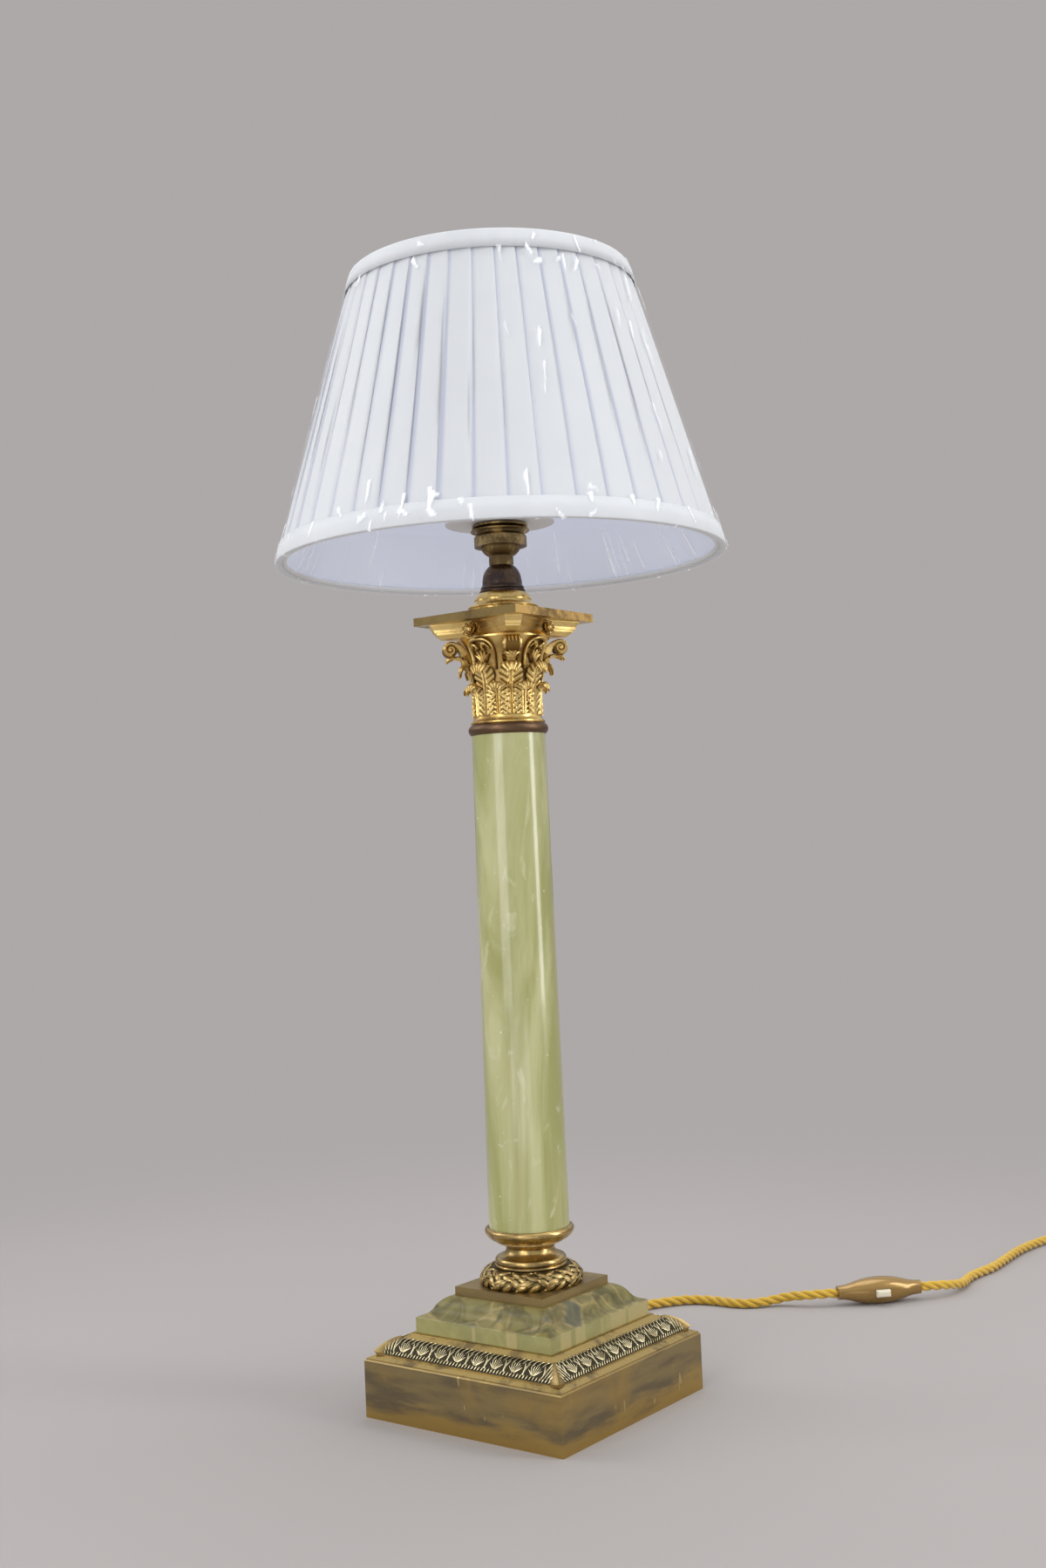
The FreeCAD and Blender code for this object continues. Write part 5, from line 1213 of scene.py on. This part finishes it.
def bell_ridge(work, layer, knots, wide, high, steps, **shape):
    """A ridge on the bell, along knots of (metres round it, height)."""
    shares = [(around, height * MM / STRIP_TALL) for around, height in knots]
    laid_ridge(work, layer, shares, wide, high, bell_spot, steps, **shape)


def arch_and_palmette(work, layer):
    for side in (-1, 1):
        stalk = [(side * around, height) for around, height in STALK] + [(0.0, 0.0500 - 0.0002 * side)]
        bell_ridge(work, layer, stalk, 0.0026, 0.0036, 22, swelling=0.15, root=-0.0008)
        curl = [(side * around, height) for around, height in CURL]
        bell_ridge(work, layer, curl, 0.0022, 0.0042, 14, swelling=0.3)
    for i in range(5):
        lean = (i - 2) / 2
        tip = (lean * 0.0058, 0.0425 - 0.0022 * lean * lean)
        bell_ridge(work, layer, ((lean * 0.0010, 0.0345), (lean * 0.0036, 0.0385), tip), 0.0028, 0.0036, 10)


arches = repeated("bell_arches", arch_and_palmette, "gilt_brass", SIDES)
for piece, solid in ((scrolls, "corner_scrolls"), (arches, "side_scrolls")):
    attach(piece, "lamp")
    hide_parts(solid)

# %% [markdown]
# ## The laurel wreath
#
# A swelling ring of laurel lies under the column: pointed leaves that overlap in four rows, with
# berries and thin twigs between them. A spray of eight leaves is one unit, and eleven of them go
# round, each turned a little by chance. A leaf is laid on the ring by its angle round the axis and
# its place on the ring's profile, which is once more a smooth line through a few knots.

# %% Wreath
wreath_low, wreath_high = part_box("laurel_wreath")
WREATH_KNOTS = [
    (0.0316, 0.0), (0.0332, 0.18), (0.0335, 0.42), (0.0318, 0.70), (0.0290, 0.90), (0.0264, 0.985),
]
WREATH_STEPS = 40
wreath_tall = wreath_high.z - wreath_low.z
wreath_line = smooth_line(
    [(out, 0.0, wreath_low.z + wreath_tall * share) for out, share in WREATH_KNOTS], WREATH_STEPS
)
WREATH_RUN = path_length(wreath_line)
SPRAYS = 11
SPRAY_SEED = 11
WREATH_REACH = 0.032


def wreath_spot(around, share, lift):
    """A place on the ring: metres round it from the +X side, and a share of the way up."""
    at = min(max(share, 0.0), 1.0) * WREATH_STEPS
    i = min(int(at), WREATH_STEPS - 1)
    spot = wreath_line[i].lerp(wreath_line[i + 1], at - i)
    way = (wreath_line[i + 1] - wreath_line[i]).normalized()
    outward = Vector((way.z, 0.0, -way.x))
    return Matrix.Rotation(around / WREATH_REACH, 3, "Z") @ (spot + outward * lift)


def laurel_leaf(work, layer, around, share, heading, length, wide):
    def surface(at, side, under):
        run = (at - 0.5) * length
        half = side * wide / 2 * math.sin(math.pi * min(0.06 + at * 0.92, 1.0)) ** 0.8
        x = around + run * math.cos(heading) - half * math.sin(heading)
        y = share + (run * math.sin(heading) + half * math.cos(heading)) / WREATH_RUN
        vein = wave_at(at * 5 - abs(side))
        lift = 0.0003 + 0.0005 * math.sin(math.pi * at) - 0.0003 * side * side + 0.0003 * ridge(side, 0, 0.2)
        deep = max(abs(side) ** 2.5, 0.35 * (1 - vein))
        return wreath_spot(x, y, -0.0004 if under else lift + 0.0001 * vein), 1.0 if under else deep

    closed_patch(work, layer, surface, 6, 10)


def wreath_spray(work, layer):
    random.seed(SPRAY_SEED)
    step = 2 * math.pi * WREATH_REACH / SPRAYS
    for row, share in enumerate((0.17, 0.42, 0.66, 0.88)):
        for i in range(2):
            around = step * (i + 0.5 * (row % 2)) / 2 + random.uniform(-0.0015, 0.0015)
            heading = random.choice((-1, 1)) * random.uniform(0.15, 1.0)
            laurel_leaf(work, layer, around, share, heading, random.uniform(0.0085, 0.0120), 0.0044)
    for twig in (
        ((0.0, 0.36), (0.005, 0.30), (0.011, 0.42), (0.018, 0.34)),
        ((0.001, 0.64), (0.008, 0.70), (0.017, 0.62)),
    ):
        laid_ridge(work, layer, twig, 0.0009, 0.0011, wreath_spot)
    for around, share in ((0.004, 0.36), (0.0125, 0.66), (0.0155, 0.12)):
        spot = wreath_spot(around, share, 0.0005)
        bmesh.ops.create_icosphere(work, subdivisions=2, radius=0.0009, matrix=Matrix.Translation(spot))


wreath = repeated("laurel_sprays", wreath_spray, "spray_brass", SPRAYS, sway=0.03, seed=5)
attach(wreath, "lamp")

# %% [markdown]
# ## The pleats
#
# The cover is one strip of cloth laid in knife pleats: each pleat rises slowly to its fold and
# drops back in one short step. No two are quite alike, so each has its own small change of width
# and height. The cone's slope and its places come from the lining behind it and the bindings.

# %% Pleated cover
PLEATS = 44
PLEAT_ROWS = 14
PLEAT_DEPTH = 0.0016
COVER_THICK = 0.0006
LINING_OVER_RING = 0.0016
SHADE_SEED = 7
# (share of a pleat's width, rise): a slow rise to the fold and a short step back
PLEAT_SHAPE = [
    (0.0, 0.0), (0.06, 0.16), (0.22, 0.40), (0.46, 0.66), (0.72, 0.90), (0.88, 1.0), (0.935, 0.93),
    (0.965, 0.2),
]
cover_low, cover_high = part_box("pleated_cover")
shade_base, shade_top = cover_low.z, cover_high.z
binding_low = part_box("bottom_binding")
binding_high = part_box("top_binding")
lining_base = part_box("shade_lining")[1].x
lining_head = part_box("shade_top_ring")[1].x + LINING_OVER_RING
slope = (lining_base - lining_head) / (shade_top - shade_base)


def shade_reach(base, height):
    """Radius of a cone of the shade's slope that is base wide at the cover's lower edge."""
    return base - slope * (height - shade_base)


def pleat_profile():
    """(angle, rise) round the shade, the rise from 0 at a pleat's root to 1 at its fold."""
    random.seed(SHADE_SEED)
    widths = [1.0 + random.uniform(-0.09, 0.09) for _ in range(PLEATS)]
    total = sum(widths)
    places, angle = [], 0.0
    for width in widths:
        lift = random.uniform(0.82, 1.0)
        for share, rise in PLEAT_SHAPE:
            places.append((angle + 2 * math.pi * width / total * share, rise * lift))
        angle += 2 * math.pi * width / total
    return places


def pleats(work, layer):
    root = lining_base + COVER_THICK * 1.3
    places = pleat_profile()
    grid = []
    for r in range(PLEAT_ROWS + 1):
        share = r / PLEAT_ROWS
        height = shade_base + (shade_top - shade_base) * share
        firm = 1.0 - 0.45 * math.exp(-share * 16.0) - 0.45 * math.exp(-(1.0 - share) * 16.0)
        ring = []
        for k, (angle, rise) in enumerate(places):
            sway = 0.0011 * math.sin(k * 1.7 + share * 3.0) * math.sin(math.pi * share)
            reach = shade_reach(root, height) + PLEAT_DEPTH * rise * firm
            turn = angle + sway / reach
            vertex = work.verts.new((reach * math.cos(turn), reach * math.sin(turn), height))
            # The depth paints shade at each pleat's root, under the step of the fold, less near the rims.
            vertex[layer] = (1.0 - rising(rise, 0.0, 0.3)) * (0.55 + 0.45 * firm)
            ring.append(vertex)
        grid.append(ring)
    join_round(work, grid)


cover = add_object("pleated_cloth", carved_mesh("pleated_cloth", pleats), made_materials["shade_fabric"])
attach(cover, "shade")
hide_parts("pleated_cover")
print("pleats", PLEATS, "faces", len(cover.data.polygons))

# %% [markdown]
# A cloth tape binds each rim. It lies over the ends of the pleats, so their ripple shows through
# it, and it turns in over the rim. Its section is a closed line that is carried round the axis.

# %% Bindings
TAPE = 0.0006
TURN_IN = 0.0047
RIM_RADIUS = binding_low[1].x
HEAD_RADIUS = binding_high[1].x + slope * (shade_top - binding_high[0].z)


def bound_rim(name, rim, tall, way):
    """The tape at a rim: way is 1 where the tape rises from the rim, and -1 where it hangs."""
    section = [
        (0.0, tall), (0.0001, tall * 0.5), (0.0, 0.0009), (-0.0003, 0.0002), (-0.0009, 0.0),
        (0.0006 - TURN_IN, 0.0), (-TURN_IN, 0.0006), (-TURN_IN, 0.0042), (0.0005 - TURN_IN, 0.0042),
        (0.0005 - TURN_IN, TAPE), (-TAPE, TAPE), (-TAPE, tall),
    ]
    around = PLEATS * 8

    def wrap(work, _):
        rings = []
        for i in range(around):
            angle = 2 * math.pi * i / around
            ripple = 0.00022 * math.sin(PLEATS * angle) + 0.00010 * math.sin(PLEATS * 2.6 * angle)
            ring = []
            for out, high in section:
                height = rim + way * high
                reach = shade_reach(RIM_RADIUS, height) + out + ripple * rising(high, 0.001, 0.006)
                ring.append(work.verts.new((reach * math.cos(angle), reach * math.sin(angle), height)))
            rings.append(ring)
        join_round(work, rings + rings[:1])

    return add_object(name, carved_mesh(name, wrap), made_materials["shade_fabric"])


low_tape = bound_rim("bottom_tape", binding_low[0].z, binding_low[1].z - binding_low[0].z, 1)
high_tape = bound_rim("top_tape", binding_high[1].z, binding_high[1].z - binding_high[0].z, -1)
for tape, solid in ((low_tape, "bottom_binding"), (high_tape, "top_binding")):
    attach(tape, "shade")
    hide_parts(solid)
print("rim radius", round(RIM_RADIUS, 4), "head radius", round(HEAD_RADIUS, 4))

# %% [markdown]
# The cloth was cut as a flat strip before it was pleated. At the rim every pleat takes up its own
# width and the step of its fold, so the strip's length is the length of the pleated line there.
# Here only the number of points on that line is counted.


pleat_points = len(pleat_profile())

# %% [markdown]
# ## The clear wrapping
#
# The shade still has the thin film that it was sold in. Stretched over the folds it's all but
# invisible, and it shows by its creases, which catch the light as short white wedges. Most lie
# near the two rims, where the film is turned in, and inside the mouth it hangs gathered, with
# long creases. Each crease is drawn on the film's grid as a lift and a depth value, and the depth
# paints the crease white as a painted glint.

# %% Film
FILM_AROUND = 760
FILM_ROWS = 92
FILM_OFF = 0.0005
FILM_SEED = 23
FILM_RIPPLE = 0.00025
CREASE_LIFT = 0.0005
FILM_TURN = [
    (-0.0170, 0.0400), (-0.0150, 0.0330), (-0.0132, 0.0260), (-0.0114, 0.0195), (-0.0097, 0.0135),
    (-0.0082, 0.0080), (-0.0068, 0.0030), (-0.0052, -0.0006), (-0.0030, -0.0012), (-0.0008, -0.0006),
]


def film_rows():
    """(reach outside the cover's cone, height) of each ring of the film, from the inside out."""
    rows = [(FILM_OFF + out, shade_base - TAPE + high) for out, high in FILM_TURN]
    for r in range(FILM_ROWS + 1):
        rows.append((FILM_OFF, shade_base + (shade_top - shade_base) * r / FILM_ROWS))
    return rows + [(-0.0020, shade_top + TAPE * 1.5), (-0.0060, shade_top + TAPE * 1.2)]


def crease_list(row_count):
    """(column, row, column step, row step, length, width, strength) of each crease."""
    random.seed(FILM_SEED)
    inside = len(FILM_TURN)
    creases = []
    for low, high, count, lean, long, wide, strong in (
        (inside, inside + 9, 70, 1.1, (3, 9), (0.5, 1.5), (0.5, 1.0)),
        (row_count - 14, row_count - 3, 44, 1.0, (3, 9), (0.5, 1.2), (0.4, 0.9)),
        (inside + 8, row_count - 12, 46, 0.35, (4, 14), (0.4, 1.2), (0.3, 1.0)),
        (inside + 2, row_count - 30, 60, 0.10, (20, 52), (0.6, 1.6), (0.06, 0.16)),
        (0, inside - 4, 70, 0.30, (4, 10), (0.4, 1.0), (0.1, 0.8)),
    ):
        for _ in range(count):
            tilt = random.gauss(0.0, lean)
            creases.append((
                random.uniform(0, FILM_AROUND), random.uniform(low, high), math.sin(tilt), math.cos(tilt),
                random.uniform(*long), random.uniform(*wide), random.uniform(*strong),
            ))
    return creases


def creased_grid(row_count):
    """How strongly the film is creased at each column and row: a crease is a long thin wedge."""
    grid = [[0.0] * FILM_AROUND for _ in range(row_count)]
    for column, row, across, along, length, width, strength in crease_list(row_count):
        reach = int(length / 2 + 2)
        for r in range(max(0, int(row) - reach), min(row_count, int(row) + reach + 1)):
            for c in range(int(column) - reach, int(column) + reach + 1):
                near = (c - column) * across + (r - row) * along
                off = abs((c - column) * along - (r - row) * across)
                share = near / length + 0.5
                if 0.0 < share < 1.0:
                    fade = 1.0 - rising(off, width * share * 0.7, width * share + 0.6)
                    k = c % FILM_AROUND
                    grid[r][k] = max(grid[r][k], strength * fade * rising(share, 0.0, 0.3))
    return grid


def film_sheet(work, layer):
    rows = film_rows()
    depth = creased_grid(len(rows))
    grid = []
    for (out, height), creased in zip(rows, depth):
        ring = []
        for k, deep in enumerate(creased):
            angle = 2 * math.pi * k / FILM_AROUND
            place = Vector((math.cos(angle) * 5.0, math.sin(angle) * 5.0, height * 18.0))
            lift = FILM_RIPPLE * lattice_noise(place) + CREASE_LIFT * deep
            reach = shade_reach(RIM_RADIUS, height) + out + lift
            vertex = work.verts.new((reach * math.cos(angle), reach * math.sin(angle), height))
            vertex[layer] = deep
            ring.append(vertex)
        grid.append(ring)
    join_round(work, grid)


film = add_object("film_wrapping", carved_mesh("film_wrapping", film_sheet), made_materials["clear_film"])
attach(film, "shade")
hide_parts("shade_film")

# %% [markdown]
# ## Materials for the solids
#
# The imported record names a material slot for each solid, so one loop dresses them all.

# %% Dress the solids
slots = {part["node"]: part["material_slot"] for part in frame["record"]["subparts"]}
finishes = {
    "neck_ring": "ring_bronze",
    "laurel_wreath": "wreath_brass",
    "capital_bell": "gilt_bell",
    "capital_collar": "gilt_plain",
    "top_cap": "gilt_plain",
}
for name, solid in frame["nodes"].items():
    solid.data.materials.clear()
    solid.data.materials.append(made_materials[finishes.get(name, slots[name])])
print("dressed", len(slots), "solids")

# %% [markdown]
# ## Floor and light
#
# The photograph is taken on grey paper under soft daylight. The paper is a wide grey disc, and the
# same grey fills the sky that the camera sees. Metal needs something to mirror, so for its rays
# the sky goes from grey at the horizon to white overhead, and large soft lamps stand left and right.

# %% Floor
PAPER_RADIUS = 14.0
PAPER = (0.40, 0.375, 0.37)
BACKDROP = (0.42, 0.395, 0.395)


def seen_directly(tree):
    """1 for the camera's own rays and for what metal and glass show of the background."""
    ray = node(tree, "LightPath").outputs
    clear = math_node(tree, "MAXIMUM", ray["Is Glossy Ray"], ray["Is Transmission Ray"])
    return math_node(tree, "MAXIMUM", ray["Is Camera Ray"], clear)


def make_floor():
    """Paper that takes the lamp's shadow near it, and far off has the backdrop's own grey."""
    material, tree, shader = new_material("grey_paper", Roughness=0.9)
    spread = noise(tree, place_on(tree), 2.0, detail=2.0)
    link(tree, mix(tree, spread, PAPER, tuple(c * 0.94 for c in PAPER)), shader, "Base Color")
    reach = node(tree, "VectorMath", {"operation": "LENGTH"}, Vector=place_on(tree)).outputs["Value"]
    far = math_node(tree, "MULTIPLY", mask(tree, reach, 0.40, 1.25), seen_directly(tree))
    glow = node(tree, "Emission", Strength=1.0, Color=BACKDROP)
    blend = node(tree, "MixShader")
    for socket, output in zip(blend.inputs, (far, shader.outputs[0], glow.outputs[0])):
        tree.links.new(output, socket)
    tree.links.new(blend.outputs[0], tree.nodes["Material Output"].inputs["Surface"])
    mesh = bpy.data.meshes.new("paper")
    work = bmesh.new()
    bmesh.ops.create_circle(work, cap_ends=True, segments=96, radius=PAPER_RADIUS)
    work.to_mesh(mesh)
    work.free()
    floor = add_object("paper", mesh, material, smooth=False)


make_floor()


# %% Sky and lamps
def make_sky():
    world = bpy.data.worlds.new("sky")
    scene.world = world
    world.use_nodes = True
    tree = world.node_tree
    ray = node(tree, "LightPath")
    way = node(tree, "TexCoord").outputs["Generated"]
    height = node(tree, "SeparateXYZ", Vector=way).outputs["Z"]
    mirrored = mix(tree, mask(tree, height, -0.1, 0.75), (0.26, 0.25, 0.25), (1.0, 1.0, 1.0))
    seen = mix(tree, ray.outputs["Is Camera Ray"], mirrored, BACKDROP)
    tree.links.new(seen, tree.nodes["Background"].inputs["Color"])
    strength = mix(tree, ray.outputs["Is Camera Ray"], (0.8, 0.8, 0.8), (1.0, 1.0, 1.0))
    tree.links.new(strength, tree.nodes["Background"].inputs["Strength"])


def soft_lamp(name, spot, aim, wide, tall, power, colour=(1.0, 1.0, 1.0)):
    light = bpy.data.lights.new(name, "AREA")
    light.shape = "RECTANGLE"
    light.size, light.size_y = wide, tall
    light.energy = power
    light.color = colour
    lamp = bpy.data.objects.new(name, light)
    lamp.location = spot
    lamp.rotation_mode = "QUATERNION"
    lamp.rotation_quaternion = (Vector(spot) - Vector(aim)).to_track_quat("Z", "Y")
    scene.collection.objects.link(lamp)


make_sky()
LAMP_MIDDLE = (0.0, 0.0, 0.40)
soft_lamp("window_left", (0.1, -2.1, 1.05), LAMP_MIDDLE, 1.1, 2.0, 18.0)
soft_lamp("back_right", (1.25, 1.60, 1.0), (0.0, 0.0, 0.5), 0.5, 0.8, 1.0, (1.0, 0.80, 0.62))
soft_lamp("low_front", (0.6, -1.0, 0.04), (0.0, 0.0, 0.62), 1.2, 0.3, 2.0)
soft_lamp("window_right", (1.85, 0.72, 1.05), LAMP_MIDDLE, 0.5, 2.0, 18.0)
soft_lamp("side_left", (-2.0, -0.9, 1.5), LAMP_MIDDLE, 1.0, 1.4, 12.0)
soft_lamp("ceiling", (0.0, 0.4, 2.5), LAMP_MIDDLE, 1.6, 1.6, 14.0)

# %% [markdown]
# ## Finish
#
# The last step sets the scene's view transform to Standard.

# %% Finish
scene.view_settings.view_transform = "Standard"
